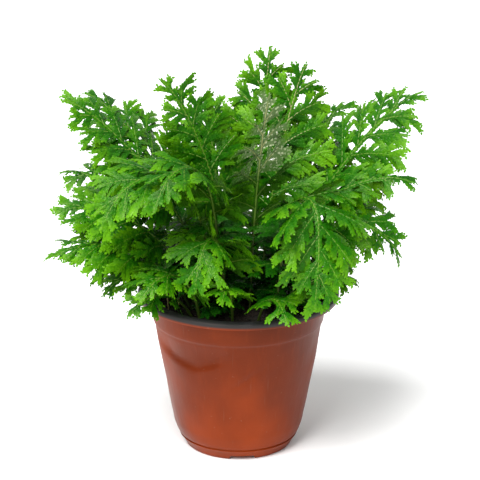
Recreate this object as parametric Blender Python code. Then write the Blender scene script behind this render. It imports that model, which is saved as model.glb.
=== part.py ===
"""A spikemoss in its thin plastic nursery pot, in metres, +Z up.

The origin lies on the ground, on the pot's axis. +X is to the right of the side that is seen most, and -Y
is towards it. The pot is one turned shell, the potting mix fills it, and each leafy stem is one solid: a
square stem that flattens into an arched frond, whose outline is cut into side branches and these into lobes.
The stems stand in plain holes.
"""

import math
import random
from dataclasses import dataclass, replace

import bpy
from mathutils import Vector
from mathutils.bvhtree import BVHTree

MM = 0.001

# Pot
POT_SEGMENTS = 28
POT_HEIGHT = 87.0 * MM
RIM_RADIUS = 54.0 * MM
POT_OUTSIDE = (  # radius and height of the wall's outer face, foot to rim, in mm
    (29.0, 0.0),
    (30.2, 2.2),
    (32.6, 7.2),
    (34.6, 11.8),
    (35.6, 16.0),
    (40.4, 43.0),
    (42.4, 54.0),
    (43.8, 62.0),
    (45.2, 70.6),
    (46.0, 71.8),
    (47.4, 83.0),
)
POT_RIM = (  # the flange and its turned-down edge, in mm
    (49.0, 86.1),
    (53.1, 86.1),
    (53.1, 83.4),
    (54.0, 83.3),
    (54.0, 86.3),
    (53.3, 87.0),
    (49.6, 87.0),
    (48.7, 86.3),
)
POT_INSIDE = (  # the wall's inner face, rim to base, in mm
    (46.3, 81.0),
    (42.9, 62.0),
    (41.5, 54.0),
    (39.5, 43.0),
    (34.7, 16.4),
    (31.6, 7.6),
    (29.2, 2.6),
)
BASE_TOP = 2.6 * MM
BASE_UNDERSIDE = 1.5 * MM
FOOT_INSIDE_RADIUS = 26.8 * MM
NOTCHES = 4
NOTCH_AZIMUTH = 274.0
NOTCH_HALF_ANGLE = 11.0
NOTCH_HEIGHT = 1.3 * MM
DENT_AZIMUTH = 259.0
DENT_HEIGHT = 62.0 * MM
DENT_HALF_ANGLE = 24.0
DENT_HALF_HEIGHT = 9.0 * MM
DENT_DEPTH = 1.6 * MM
DRAIN_HOLES = 4
DRAIN_RADIUS = 3.5 * MM
DRAIN_CIRCLE = 18.0 * MM
DRAIN_SIDES = 10
DRAIN_CUT = 8.0 * MM

# Potting mix
SOIL_HEIGHT = 79.0 * MM
SOIL_GAP = 0.35 * MM
SOIL_RINGS = (0.72, 0.42)
SOIL_RIPPLE = 0.9 * MM
SOIL_SIDE = ((45.8, 79.0), (42.9, 62.0), (41.5, 54.0), (39.5, 43.0), (34.7, 16.4), (31.6, 7.6))

# Leafy stems
STEM_HALF = 0.85 * MM
BLADE_HALF = 0.36 * MM
RIB_HALF_WIDTH = 1.0 * MM
WAIST = 2.2 * MM
LOBE = 5.6 * MM
TWO_LOBES_FROM = 17.0 * MM
LOBE_LAG = 0.06
LOBE_TAPER = 0.25
LOBE_FORWARD = 0.25
LOBE_DROOP = 0.12
BLUNT_END = 0.85
WAIST_SHARE = 0.5
NEIGHBOUR_SHARE = 0.44
MAIN_RIB_SHARE = 0.72
STEM_DEPTH = 9.0 * MM
HOLE_GAP = 0.35 * MM
HOLE_SIDES = 6
HOLE_EXTRA = 0.6 * MM
HOLE_TOP = 4.0 * MM
HOLE_WALL = 0.5 * MM
CLEAR_BLADE_HALF = 0.75 * MM
SPINE_STEPS = 48
BEND_POWER = 1.5
FACE_TURN = 32.0
FIRST_BRANCH_ANGLE = 56.0
BRANCH_ANGLE_FALL = 26.0
TRIES = 160
AERIAL_ROOT_HALF = 0.5 * MM
AERIAL_ROOT_END = 2.0 * MM
AERIAL_ROOT_SHARES = (0.3, 0.65, 1.0)

@dataclass(frozen=True)
class Frond:
    """One leafy stem: how it leaves the soil, arches and branches."""

    azimuth: float
    """Which way it leans, in degrees round the pot: 0 is right, 90 back, 180 left, 270 front."""
    root: float
    """How far from the pot's axis it leaves the soil, in mm."""
    lean: float
    """Degrees from upright at the soil."""
    tip_lean: float
    """Degrees from upright at the tip, past 90 where it hangs."""
    length: float
    """Along the arch, from the soil to the end of the rib, in mm."""
    reach: float
    """Its longest side branch, in mm."""
    branches: int = 9
    """How many side branches it has, left and right by turns."""
    bare: float = 0.34
    """The share of its length that has no side branches."""
    sway: float = 0.0
    """How far its tip is turned round the pot from its azimuth, in degrees."""
    turn: float = 0.0
    """How far the blade is rolled about its rib, in degrees, beyond the turn to the front that all have."""
    sag: float = 0.5
    """How far the side branches sink, as a share of their length."""
    bend: tuple = (0.0, 1.0)
    """The shares of its length between which it bends from its first lean to that of its tip."""
    aerial_root: float = 0.0
    """The share of its length at which an aerial root hangs from the stem, or 0."""


LEAFY_STEMS = (
    # Those that show most from the front.
    Frond(318, 26, 8, 160, 138, 35, 11, 0.44, bend=(0.30, 0.74), sag=0.35, sway=-75),
    Frond(222, 15, 13, 138, 136, 34, 10, 0.36, bend=(0.30, 0.92), sway=4),
    Frond(300, 12, 5, 16, 118, 24, 9, 0.40),
    Frond(246, 12, 8, 140, 130, 27, 9, 0.42, bend=(0.42, 0.94)),
    Frond(62, 20, 3, 12, 128, 28, 10, 0.40),
    Frond(32, 14, 5, 22, 124, 32, 10, 0.38, turn=34),
    Frond(181, 12, 19, 56, 135, 30, 11, 0.40, turn=-6),
    Frond(190, 21, 24, 92, 98, 30, 10, 0.38, sway=3, aerial_root=0.26),
    Frond(2, 16, 19, 50, 136, 34, 11, 0.40),
    Frond(250, 20, 8, 150, 84, 27, 8, 0.30, bend=(0.3, 0.85)),
    Frond(190, 4.6, 3, 35, 125, 24, 10, 0.42, turn=-53),
    Frond(203, 26, 28, 106, 87, 28, 9, 0.36, aerial_root=0.3),
    Frond(172, 29, 34, 112, 66, 24, 8, 0.32),
    Frond(352, 20, 10, 92, 110, 15, 8, 0.46),
    Frond(312, 36, 16, 112, 46, 18, 7, 0.30),
    Frond(340, 28, 14, 130, 94, 26, 9, 0.36, bend=(0.2, 0.9), aerial_root=0.3),
    Frond(232, 33, 14, 130, 62, 20, 7, 0.28),
    # Those behind.
    Frond(154, 17, 18, 58, 129, 30, 10, 0.38),
    Frond(118, 15, 8, 36, 103, 32, 10, 0.36),
    Frond(100, 28, 8, 44, 102, 26, 8, 0.36),
    Frond(40, 27, 12, 42, 106, 26, 9, 0.40, turn=6),
    Frond(26, 22, 22, 86, 94, 28, 9, 0.36),
    Frond(162, 22, 24, 88, 105, 28, 9, 0.34),
    Frond(108, 23, 22, 96, 72, 26, 8, 0.34),
    Frond(70, 24, 22, 98, 64, 24, 8, 0.34),
    Frond(14, 28, 22, 118, 45, 20, 7, 0.30),
    Frond(122, 32, 28, 120, 60, 24, 8, 0.32),
    Frond(50, 31, 28, 120, 60, 24, 8, 0.32),
)
YOUNG_STEMS = 13
YOUNG_LEAN = (14.0, 38.0)
YOUNG_TIP_LEAN = (104.0, 146.0)
YOUNG_LENGTH = (40.0, 60.0)
YOUNG_ROOT = (26.0, 36.0)
YOUNG_REACH = 16.0
YOUNG_BRANCHES = 4

LEAF_GREEN = (0.10, 0.30, 0.03)
POT_RED = (0.36, 0.10, 0.05)
SOIL_BROWN = (0.03, 0.02, 0.015)


def clear_scene():
    """Remove every object that the file starts with."""
    for old in list(bpy.data.objects):
        bpy.data.objects.remove(old)


def finish_material(name, colour, roughness):
    """A plain dielectric material."""
    material = bpy.data.materials.new(name)
    material.use_nodes = True
    shader = material.node_tree.nodes["Principled BSDF"]
    shader.inputs["Base Color"].default_value = (*colour, 1.0)
    shader.inputs["Roughness"].default_value = roughness
    shader.inputs["Metallic"].default_value = 0.0
    return material


def add_object(name, points, faces, material):
    """A mesh object from points and faces, in the scene's collection."""
    mesh = bpy.data.meshes.new(name)
    mesh.from_pydata([tuple(p) for p in points], [], faces)
    mesh.validate()
    mesh.materials.append(material)
    mesh.shade_smooth()
    mesh.set_sharp_from_angle(angle=math.radians(35))
    made = bpy.data.objects.new(name, mesh)
    bpy.context.scene.collection.objects.link(made)
    return made


def around(azimuth, radius, height):
    """The point at an azimuth in degrees, a radius and a height."""
    angle = math.radians(azimuth)
    return Vector((radius * math.cos(angle), radius * math.sin(angle), height))


def angle_between(first, second):
    """The smaller angle between two azimuths, in degrees."""
    return abs((first - second + 180.0) % 360.0 - 180.0)


def dent(azimuth, height):
    """How far the thin wall is pressed in at a place."""
    across = angle_between(azimuth, DENT_AZIMUTH) / DENT_HALF_ANGLE
    up = (height - DENT_HEIGHT) / DENT_HALF_HEIGHT
    return DENT_DEPTH * math.exp(-across * across - up * up)


def notch_lift(azimuth):
    """How far the foot ring is cut away from the ground at an azimuth."""
    step = 360.0 / NOTCHES
    nearest = min(angle_between(azimuth, NOTCH_AZIMUTH + k * step) for k in range(NOTCHES))
    return NOTCH_HEIGHT if nearest < NOTCH_HALF_ANGLE else 0.0


def ring_faces(rings, segments, closed):
    """Quads between rings of equal size in order, the last ring joined to the first if closed."""
    faces = []
    for ring in range(rings if closed else rings - 1):
        above = (ring + 1) % rings
        for k in range(segments):
            beside = (k + 1) % segments
            faces.append(
                (
                    ring * segments + k,
                    ring * segments + beside,
                    above * segments + beside,
                    above * segments + k,
                )
            )
    return faces


def pot_wall_point(azimuth, radius_mm, height_mm):
    """A point of the pot's wall, with its dent and its foot's notches."""
    height = height_mm * MM
    radius = radius_mm * MM - dent(azimuth, height)
    if height_mm == 0.0:
        height = notch_lift(azimuth)
    return around(azimuth, radius, height)


def build_pot(material):
    """The turned shell: foot, wall, stacking step, flange with its turned-down edge, and base."""
    foot_inside = ((FOOT_INSIDE_RADIUS / MM, BASE_UNDERSIDE / MM), (FOOT_INSIDE_RADIUS / MM, 0.0))
    profile = (*foot_inside, *POT_OUTSIDE, *POT_RIM, *POT_INSIDE)
    points = []
    for radius, height in profile:
        for k in range(POT_SEGMENTS):
            points.append(pot_wall_point(360.0 * k / POT_SEGMENTS, radius, height))
    faces = ring_faces(len(profile), POT_SEGMENTS, closed=False)
    under, over = len(points), len(points) + 1
    points += [Vector((0.0, 0.0, BASE_UNDERSIDE)), Vector((0.0, 0.0, BASE_TOP))]
    last = (len(profile) - 1) * POT_SEGMENTS
    for k in range(POT_SEGMENTS):
        beside = (k + 1) % POT_SEGMENTS
        faces.append((under, beside, k))
        faces.append((over, last + k, last + beside))
    return add_object("pot", points, faces, material)


def prism(start, end, radius, sides):
    """Points and outward faces of a straight prism between two points."""
    along = (end - start).normalized()
    across = along.orthogonal().normalized()
    beside = along.cross(across)
    points = []
    for centre in (start, end):
        for k in range(sides):
            turn = 2.0 * math.pi * k / sides
            points.append(centre + radius * (math.cos(turn) * across + math.sin(turn) * beside))
    faces = [tuple(reversed(range(sides))), tuple(range(sides, 2 * sides))]
    for k in range(sides):
        other = (k + 1) % sides
        faces.append((k, other, sides + other, sides + k))
    return points, faces


def cut(target, prisms, name):
    """Cut a set of prisms, which stand clear of each other, out of an object."""
    points, faces = [], []
    for some_points, some_faces in prisms:
        faces += [tuple(len(points) + corner for corner in face) for face in some_faces]
        points += some_points
    cutter = add_object(name, points, faces, target.data.materials[0])
    cutter.hide_render = True
    cutter.display_type = "WIRE"
    modifier = target.modifiers.new(name, "BOOLEAN")
    modifier.operation = "DIFFERENCE"
    modifier.object = cutter


def drain_holes():
    """The round holes through the pot's base."""
    holes = []
    for k in range(DRAIN_HOLES):
        azimuth = NOTCH_AZIMUTH + (k + 0.5) * 360.0 / DRAIN_HOLES
        middle = around(azimuth, DRAIN_CIRCLE, BASE_TOP)
        half = Vector((0.0, 0.0, DRAIN_CUT / 2.0))
        holes.append(prism(middle - half, middle + half, DRAIN_RADIUS, DRAIN_SIDES))
    return holes


def soil_top(azimuth, radius):
    """Height of the uneven potting mix at a place."""
    angle = math.radians(azimuth)
    ripple = math.sin(3.0 * angle + 130.0 * radius) * math.cos(2.0 * angle)
    return SOIL_HEIGHT + SOIL_RIPPLE * ripple * radius / RIM_RADIUS


def build_soil(material):
    """The potting mix, which follows the pot's wall at a small gap."""
    points = []
    for share in reversed(SOIL_RINGS):
        radius = share * SOIL_SIDE[0][0] * MM
        for k in range(POT_SEGMENTS):
            azimuth = 360.0 * k / POT_SEGMENTS
            points.append(around(azimuth, radius, soil_top(azimuth, radius)))
    bottom = BASE_TOP + SOIL_GAP
    side = [*SOIL_SIDE, (29.2, bottom / MM)]
    for radius_mm, height_mm in side:
        for k in range(POT_SEGMENTS):
            azimuth = 360.0 * k / POT_SEGMENTS
            radius = radius_mm * MM - SOIL_GAP - dent(azimuth, height_mm * MM)
            height = height_mm * MM
            if height_mm * MM >= SOIL_HEIGHT:
                height = soil_top(azimuth, radius)
            points.append(around(azimuth, radius, height))
    rings = len(SOIL_RINGS) + len(side)
    faces = [tuple(reversed(face)) for face in ring_faces(rings, POT_SEGMENTS, closed=False)]
    top, base = len(points), len(points) + 1
    points += [Vector((0.0, 0.0, SOIL_HEIGHT)), Vector((0.0, 0.0, bottom))]
    last = (rings - 1) * POT_SEGMENTS
    for k in range(POT_SEGMENTS):
        beside = (k + 1) % POT_SEGMENTS
        faces.append((top, k, beside))
        faces.append((base, last + beside, last + k))
    return add_object("potting_mix", points, faces, material)


@dataclass
class Place:
    """A point on a rib, with the way it runs and the way the blade faces there."""

    point: Vector
    along: Vector
    face: Vector

    @property
    def across(self):
        """To the left of along, seen from the side that the blade faces."""
        return self.face.cross(self.along)


def turned(along, face, degrees):
    """A blade's facing turned about its rib, and made square to it."""
    square = (face - along * along.dot(face)).normalized()
    angle = math.radians(degrees)
    return square * math.cos(angle) + square.cross(along) * math.sin(angle)


def spine(frond):
    """The arch of a stem: its places from under the soil to the end of the rib."""
    places = []
    step = frond.length * MM / SPINE_STEPS
    point = around(frond.azimuth, frond.root * MM, SOIL_HEIGHT)
    for k in range(SPINE_STEPS + 1):
        share = k / SPINE_STEPS
        bent = min(max((share - frond.bend[0]) / (frond.bend[1] - frond.bend[0]), 0.0), 1.0)
        lean = math.radians(frond.lean + (frond.tip_lean - frond.lean) * bent**BEND_POWER)
        way = math.radians(frond.azimuth + frond.sway * share * share)
        out = Vector((math.cos(way), math.sin(way), 0.0))
        along = out * math.sin(lean) + Vector((0.0, 0.0, math.cos(lean)))
        face = Vector((0.0, 0.0, math.sin(lean))) - out * math.cos(lean)
        roll = -(FACE_TURN * math.cos(way) + frond.turn) * min(1.0, 1.5 * share)
        places.append(Place(point.copy(), along, turned(along, face, roll)))
        point += along * step
    return places


def at_share(places, share):
    """The place at a share of a rib's length."""
    where = min(max(share, 0.0), 1.0) * (len(places) - 1)
    low = min(int(where), len(places) - 2)
    part = where - low
    first, second = places[low], places[low + 1]
    along = first.along.lerp(second.along, part).normalized()
    face = turned(along, first.face.lerp(second.face, part), 0.0)
    return Place(first.point.lerp(second.point, part), along, face)


def side_rib(start, direction, length, sag, steps=8):
    """The rib of a side branch, which sinks a little under its own weight."""
    places = []
    point, face = start.point.copy(), start.face
    for k in range(steps + 1):
        along = (direction + Vector((0.0, 0.0, -sag * k / steps))).normalized()
        face = turned(along, face, 0.0)
        places.append(Place(point.copy(), along, face))
        point += along * (length / steps)
    return places


def branch_share(frond, index):
    """How long a side branch is beside the longest one."""
    share = index / (frond.branches - 1)
    rising = 0.74 + 1.3 * share
    falling = 1.0 - 0.56 * max(0.0, (share - 0.25) / 0.75) ** 1.25
    return min(rising, falling, 1.0)


def leafy_shares(frond):
    """The shares of the rib's length at which its side branches begin and end."""
    last = 0.93
    step = (last - frond.bare) / frond.branches
    return [frond.bare + step * k for k in range(frond.branches + 1)]


def side_branches(frond):
    """Each side branch: 1 for left or -1 for right, its place along the rib, and its own rib."""
    places = spine(frond)
    shares = leafy_shares(frond)
    found = []
    for k in range(frond.branches):
        side = 1 if k % 2 == 0 else -1
        start = at_share(places, (shares[k] + shares[k + 1]) / 2.0)
        angle = math.radians(FIRST_BRANCH_ANGLE - BRANCH_ANGLE_FALL * k / (frond.branches - 1))
        direction = start.along * math.cos(angle) + start.across * side * math.sin(angle)
        length = frond.reach * MM * branch_share(frond, k)
        found.append((side, k, side_rib(start, direction, length, frond.sag)))
    return found


def lobes_on(length):
    """How many lobes a side branch has on each side."""
    return 2 if length > TWO_LOBES_FROM else 1


class Blade:
    """A sheet of triangles with a facing and a half thickness at each point, made one closed solid."""

    def __init__(self):
        self.points, self.faces = [], []

    def add(self, point, face, half):
        """Add a point and return its number."""
        self.points.append((point, face, half))
        return len(self.points) - 1

    def quad(self, right, right_next, left_next, left):
        """Add a four-sided piece as two triangles, seen anticlockwise."""
        self.faces += [(right, right_next, left_next), (right, left_next, left)]

    def solid(self):
        """Points and faces of the thickened sheet, split into triangles alike on both sides."""
        count = len(self.points)
        points = [p + face * half for p, face, half in self.points]
        points += [p - face * half for p, face, half in self.points]
        faces = list(self.faces)
        faces += [(c + count, b + count, a + count) for a, b, c in self.faces]
        edges = {edge for a, b, c in self.faces for edge in ((a, b), (b, c), (c, a))}
        for a, b in sorted(edges):
            if (b, a) not in edges:
                faces += [(b, a, a + count), (b, a + count, b + count)]
        return points, faces


def room_beside(point, neighbours, main):
    """How far a lobe may reach from a point before it meets a neighbouring branch or the main rib."""
    room = LOBE
    for rib in neighbours:
        room = min(room, NEIGHBOUR_SHARE * min((point - place.point).length for place in rib))
    if main:
        room = min(room, MAIN_RIB_SHARE * min((point - place.point).length for place in main))
    return room


def add_lobes(blade, rib, length, bases, half, beside):
    """Add a side branch or a frond's end to a blade: a strip with lobes cut forwards out of both its edges.

    The bases are the strip's two corners on the main rib, and beside gives what stands next to it.
    """
    count = lobes_on(length)
    left, right = bases
    for k in range(count + 1):
        last = k == count
        begin, share = k / (count + 0.8), (k + 1) / (count + 0.8)
        end_place = at_share(rib, 1.0 if last else share)
        ends, tips = [], []
        for side, (neighbours, main) in zip((1, -1), beside):
            place = at_share(rib, min(1.0, share + (0.0 if last or side > 0 else LOBE_LAG)))
            room = room_beside(place.point, neighbours, main)
            waist = min(WAIST * (BLUNT_END if last else 1.0), WAIST_SHARE * room)
            ends.append(blade.add(place.point + place.across * (side * waist), end_place.face, half))
            if not last:
                tip_share = begin + (share - begin) * (0.95 if side > 0 else 1.15)
                place = at_share(rib, tip_share)
                room = room_beside(place.point, neighbours, main)
                reach = min(room, LOBE * (1.0 - LOBE_TAPER * tip_share))
                lift = place.along * (LOBE_FORWARD * reach) - place.face * (LOBE_DROOP * reach)
                tip = place.point + place.across * (side * reach) + lift
                tips.append(blade.add(tip, end_place.face, half))
        blade.quad(right, ends[1], ends[0], left)
        if not last:
            blade.faces += [(left, ends[0], tips[0]), (ends[1], right, tips[1])]
        left, right = ends


def add_aerial_root(blade, start, base_left, base_right):
    """Add a thin root to a blade, which hangs from the stem's left edge to just over the potting mix."""
    length = start.point.z - SOIL_HEIGHT - AERIAL_ROOT_END
    direction = (start.across * 0.5 + Vector((0.0, 0.0, -1.0))).normalized()
    rib = side_rib(start, direction, length, 0.8)
    left, right = base_left, base_right
    for share in AERIAL_ROOT_SHARES:
        place = at_share(rib, share)
        ends = []
        for side in (1, -1):
            edge = place.point + place.across * (side * AERIAL_ROOT_HALF)
            ends.append(blade.add(edge, place.face, AERIAL_ROOT_HALF))
        blade.quad(right, ends[1], ends[0], left)
        left, right = ends


def frond_blade(frond, blade_half=BLADE_HALF):
    """The whole leafy stem as one sheet: its square stem, its rib, and each side branch's lobes."""
    places = spine(frond)
    blade = Blade()
    sunk = places[0]
    foot = Place(sunk.point - sunk.along * STEM_DEPTH, sunk.along, sunk.face)
    bare_shares = [0.0, frond.bare / 2.0]
    if frond.aerial_root:
        half_share = AERIAL_ROOT_HALF / (frond.length * MM)
        bare_shares = [0.0, frond.aerial_root - half_share, frond.aerial_root + half_share]
    stations = [foot] + [at_share(places, share) for share in bare_shares]
    stations += [at_share(places, share) for share in leafy_shares(frond)]
    stem_count = 1 + len(bare_shares)
    left, right = [], []
    for k, place in enumerate(stations):
        thinning = max(0.0, (k - stem_count) / frond.branches)
        half = STEM_HALF if k < stem_count else max(blade_half, STEM_HALF * (1.0 - thinning))
        width = STEM_HALF if k < stem_count else RIB_HALF_WIDTH * (1.0 - 0.2 * thinning)
        left.append(blade.add(place.point + place.across * width, place.face, half))
        right.append(blade.add(place.point - place.across * width, place.face, half))
    for k in range(len(stations) - 1):
        blade.quad(right[k], right[k + 1], left[k + 1], left[k])
    if frond.aerial_root:
        add_aerial_root(blade, at_share(places, frond.aerial_root), left[2], left[3])
    end = at_share(places, leafy_shares(frond)[-1])
    end_length = frond.length * MM * (1.0 - leafy_shares(frond)[-1]) + LOBE
    end_rib = side_rib(end, end.along, end_length, frond.sag)
    ribs = [rib for _, _, rib in side_branches(frond)]
    main = places[::3]
    for side, k, rib in side_branches(frond):
        base = stem_count + k
        behind = [ribs[k - 2]] if k > 1 else []
        ahead = [ribs[k + 2]] if k + 2 < len(ribs) else [end_rib]
        length = frond.reach * MM * branch_share(frond, k)
        if side > 0:
            bases, beside = (left[base], left[base + 1]), ((behind, None), (ahead, main))
        else:
            bases, beside = (right[base + 1], right[base]), ((ahead, main), (behind, None))
        add_lobes(blade, rib, length, bases, blade_half, beside)
    last_left, last_right = (ribs[-2], ribs[-1]) if frond.branches % 2 == 0 else (ribs[-1], ribs[-2])
    beside = (([last_left], None), ([last_right], None))
    add_lobes(blade, end_rib, end_length, (left[-1], right[-1]), blade_half, beside)
    return blade


def young_stem(index):
    """A young leafy stem at the pot's wall, from seeded draws."""
    draw = random.Random(700 + index)
    return Frond(
        azimuth=(index + 0.5) * 360.0 / YOUNG_STEMS + draw.uniform(-6.0, 6.0),
        root=draw.uniform(*YOUNG_ROOT),
        lean=draw.uniform(*YOUNG_LEAN),
        tip_lean=draw.uniform(*YOUNG_TIP_LEAN),
        length=draw.uniform(*YOUNG_LENGTH),
        reach=YOUNG_REACH,
        branches=YOUNG_BRANCHES,
        bare=0.3,
        turn=draw.uniform(-12.0, 12.0),
        sag=0.3,
    )


def nudged(frond, seed, attempt):
    """A frond turned and bent a little further from its own place at each attempt, by seeded draws."""
    if attempt == 0:
        return frond
    draw = random.Random(1000 * seed + attempt)
    amount = 0.15 + 0.85 * attempt / TRIES
    return replace(
        frond,
        azimuth=frond.azimuth + amount * draw.uniform(-18.0, 18.0),
        root=frond.root + amount * draw.uniform(-5.0, 5.0),
        lean=frond.lean + amount * draw.uniform(-8.0, 8.0),
        tip_lean=frond.tip_lean + amount * draw.uniform(-16.0, 16.0),
        sway=frond.sway + amount * draw.uniform(-16.0, 16.0),
        turn=frond.turn + amount * draw.uniform(-30.0, 30.0),
        sag=frond.sag + amount * draw.uniform(-0.3, 0.2),
    )


def tree_of(points, faces):
    """A tree of a mesh's triangles, to see what crosses it."""
    return BVHTree.FromPolygons([tuple(p) for p in points], faces)


def stem_hole(frond, wall=0.0):
    """The plain hole in the potting mix that a stem stands in, wider by the wall if one is given."""
    place = spine(frond)[0]
    radius = STEM_HALF * math.sqrt(2.0) + HOLE_GAP / math.cos(math.pi / HOLE_SIDES) + wall
    bottom = place.point - place.along * (STEM_DEPTH + HOLE_EXTRA + wall)
    return prism(bottom, place.point + place.along * HOLE_TOP, radius, HOLE_SIDES)


def crosses_itself(tree, faces):
    """Whether two faces that share no corner cross."""
    return any(not set(faces[a]) & set(faces[b]) for a, b in tree.overlap(tree))


def settled(nominal, seed, placed, holes):
    """The frond at its first attempt that crosses nothing placed so far, blade or hole, or None."""
    for attempt in range(TRIES):
        frond = nudged(nominal, seed, attempt)
        points, faces = frond_blade(frond, CLEAR_BLADE_HALF).solid()
        blade = tree_of(points, faces)
        hole = tree_of(*stem_hole(frond, HOLE_WALL))
        if crosses_itself(blade, faces):
            continue
        blade_crosses = any(blade.overlap(other) for other in placed)
        hole_crosses = any(hole.overlap(other) for other in holes)
        if not blade_crosses and not hole_crosses:
            placed.append(blade)
            holes.append(hole)
            return frond
    return None


def rim_guard():
    """A coarse ring round the pot's rim and wall, which the fronds stay clear of."""
    outer, top = RIM_RADIUS + MM, POT_HEIGHT + MM
    profile = ((outer, 0.0), (outer, top), (46.5 * MM, top), (45.6 * MM, 0.0))
    points = [around(360.0 * k / POT_SEGMENTS, r, z) for r, z in profile for k in range(POT_SEGMENTS)]
    return tree_of(points, ring_faces(len(profile), POT_SEGMENTS, closed=True))


def settle_all():
    """Every leafy stem in its settled place, by node name."""
    placed, holes = [rim_guard()], []
    found = {}
    young = [young_stem(index) for index in range(YOUNG_STEMS)]
    for kind, first_seed, nominals in (("leafy_stem", 1, LEAFY_STEMS), ("young_stem", 100, young)):
        count = 0
        for seed, nominal in enumerate(nominals, first_seed):
            frond = settled(nominal, seed, placed, holes)
            if frond is not None:
                count += 1
                found[f"{kind}_{count:02d}"] = frond
    return found


def main():
    """Build the pot, the potting mix and the leafy stems."""
    clear_scene()
    pot = build_pot(finish_material("pot_plastic", POT_RED, 0.45))
    cut(pot, drain_holes(), "drain_cutter")
    soil = build_soil(finish_material("potting_mix", SOIL_BROWN, 0.95))
    stems = settle_all()
    cut(soil, [stem_hole(frond) for frond in stems.values()], "stem_hole_cutter")
    for name, frond in stems.items():
        add_object(name, *frond_blade(frond).solid(), finish_material(f"{name}_leaf", LEAF_GREEN, 0.4))


main()
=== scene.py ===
"""A spikemoss in its thin nursery pot, dressed for its picture.

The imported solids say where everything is. Each leafy stem keeps its own arch and side branches and is grown
again here with its branchlets and scale leaves. The pot gets its folds, dents and scuffs, and the potting mix
its crumbs. Lengths are in metres, and +Z is up.
"""

import logging
import math
import random
from collections.abc import Iterable, Sequence
from dataclasses import dataclass, field, replace
from enum import Enum

import bpy
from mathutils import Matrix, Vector, noise
from mathutils.bvhtree import BVHTree

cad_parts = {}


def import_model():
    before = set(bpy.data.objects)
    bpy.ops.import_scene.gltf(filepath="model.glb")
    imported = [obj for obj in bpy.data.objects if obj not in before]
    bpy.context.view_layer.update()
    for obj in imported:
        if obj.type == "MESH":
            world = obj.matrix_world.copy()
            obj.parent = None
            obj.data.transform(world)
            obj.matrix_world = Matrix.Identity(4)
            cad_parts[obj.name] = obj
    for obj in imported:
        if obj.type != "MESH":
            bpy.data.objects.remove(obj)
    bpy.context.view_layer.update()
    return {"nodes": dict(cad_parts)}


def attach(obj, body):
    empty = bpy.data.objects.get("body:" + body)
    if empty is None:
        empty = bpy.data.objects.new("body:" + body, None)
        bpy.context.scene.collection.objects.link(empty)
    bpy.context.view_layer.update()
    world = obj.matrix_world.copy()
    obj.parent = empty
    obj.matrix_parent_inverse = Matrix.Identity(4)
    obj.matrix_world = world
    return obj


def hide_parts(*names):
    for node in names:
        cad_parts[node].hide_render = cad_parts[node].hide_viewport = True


LOG = logging.getLogger("potted_spikemoss")
MM = 0.001
BODY = "root"
UP = Vector((0.0, 0.0, 1.0))
MIX_HEIGHT = 79.0 * MM

Pair = tuple[float, float]
Triple = tuple[float, float, float]
Colour = Triple
Socket = bpy.types.NodeSocket
# A range is a value's low and high end, and what the value becomes at each
Range = tuple[float, float, float, float]


class Side(Enum):
    """The two sides of a rib, as seen from the side that the blade faces."""

    LEFT = 1
    RIGHT = -1


class Slot(Enum):
    """The record's material slots."""

    POT = "pot"
    MIX = "potting_mix"
    FOLIAGE = "foliage"


# Small helpers


def mixed(ends: Pair, share: float) -> float:
    """The value at a share of the way from one end to the other."""
    return ends[0] + (ends[1] - ends[0]) * share


def held(share: float) -> float:
    """A share held between 0 and 1."""
    return min(max(share, 0.0), 1.0)


def linked(name: str, data: bpy.types.ID) -> bpy.types.Object:
    """A new object of some data, in the scene."""
    made = bpy.data.objects.new(name, data)
    bpy.context.scene.collection.objects.link(made)
    return made


def mesh_of(name: str, points: Iterable[Vector], faces: list, edges: Sequence = ()) -> bpy.types.Mesh:
    """A new mesh from its points, faces and loose edges."""
    mesh = bpy.data.meshes.new(name)
    mesh.from_pydata([tuple(point) for point in points], list(edges), faces)
    return mesh


def store(mesh: bpy.types.Mesh, name: str, values: Sequence[float], domain: str = "POINT") -> None:
    """Store a number for each point or face of a mesh."""
    mesh.attributes.new(name, "FLOAT", domain).data.foreach_set("value", values)


def meshed(carrier: bpy.types.Object) -> bpy.types.Mesh:
    """A plain mesh of what an object's modifiers make of it, in place of the object."""
    graph = bpy.context.evaluated_depsgraph_get()
    shown = carrier.evaluated_get(graph)
    mesh = bpy.data.meshes.new_from_object(shown, preserve_all_data_layers=True, depsgraph=graph)
    bpy.data.objects.remove(carrier)
    return mesh


def band(row: int, above: int, count: int) -> list[tuple[int, int, int, int]]:
    """The faces between two rings of points, by the numbers of their first points."""
    return [(row + k, row + (k + 1) % count, above + (k + 1) % count, above + k) for k in range(count)]


def add_piece(name: str, mesh: bpy.types.Mesh, slot: Slot, *replaced: str) -> int:
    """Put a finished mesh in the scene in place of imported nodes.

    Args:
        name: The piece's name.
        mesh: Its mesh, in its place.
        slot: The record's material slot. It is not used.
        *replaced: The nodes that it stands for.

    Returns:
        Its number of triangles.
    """
    piece = linked(name, mesh)
    mesh.name = name
    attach(piece, BODY)
    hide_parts(*replaced)
    mesh.calc_loop_triangles()
    triangles = len(mesh.loop_triangles)
    LOG.info("%s: %d triangles", name, triangles)
    return triangles


# Node trees for materials and geometry


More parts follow.
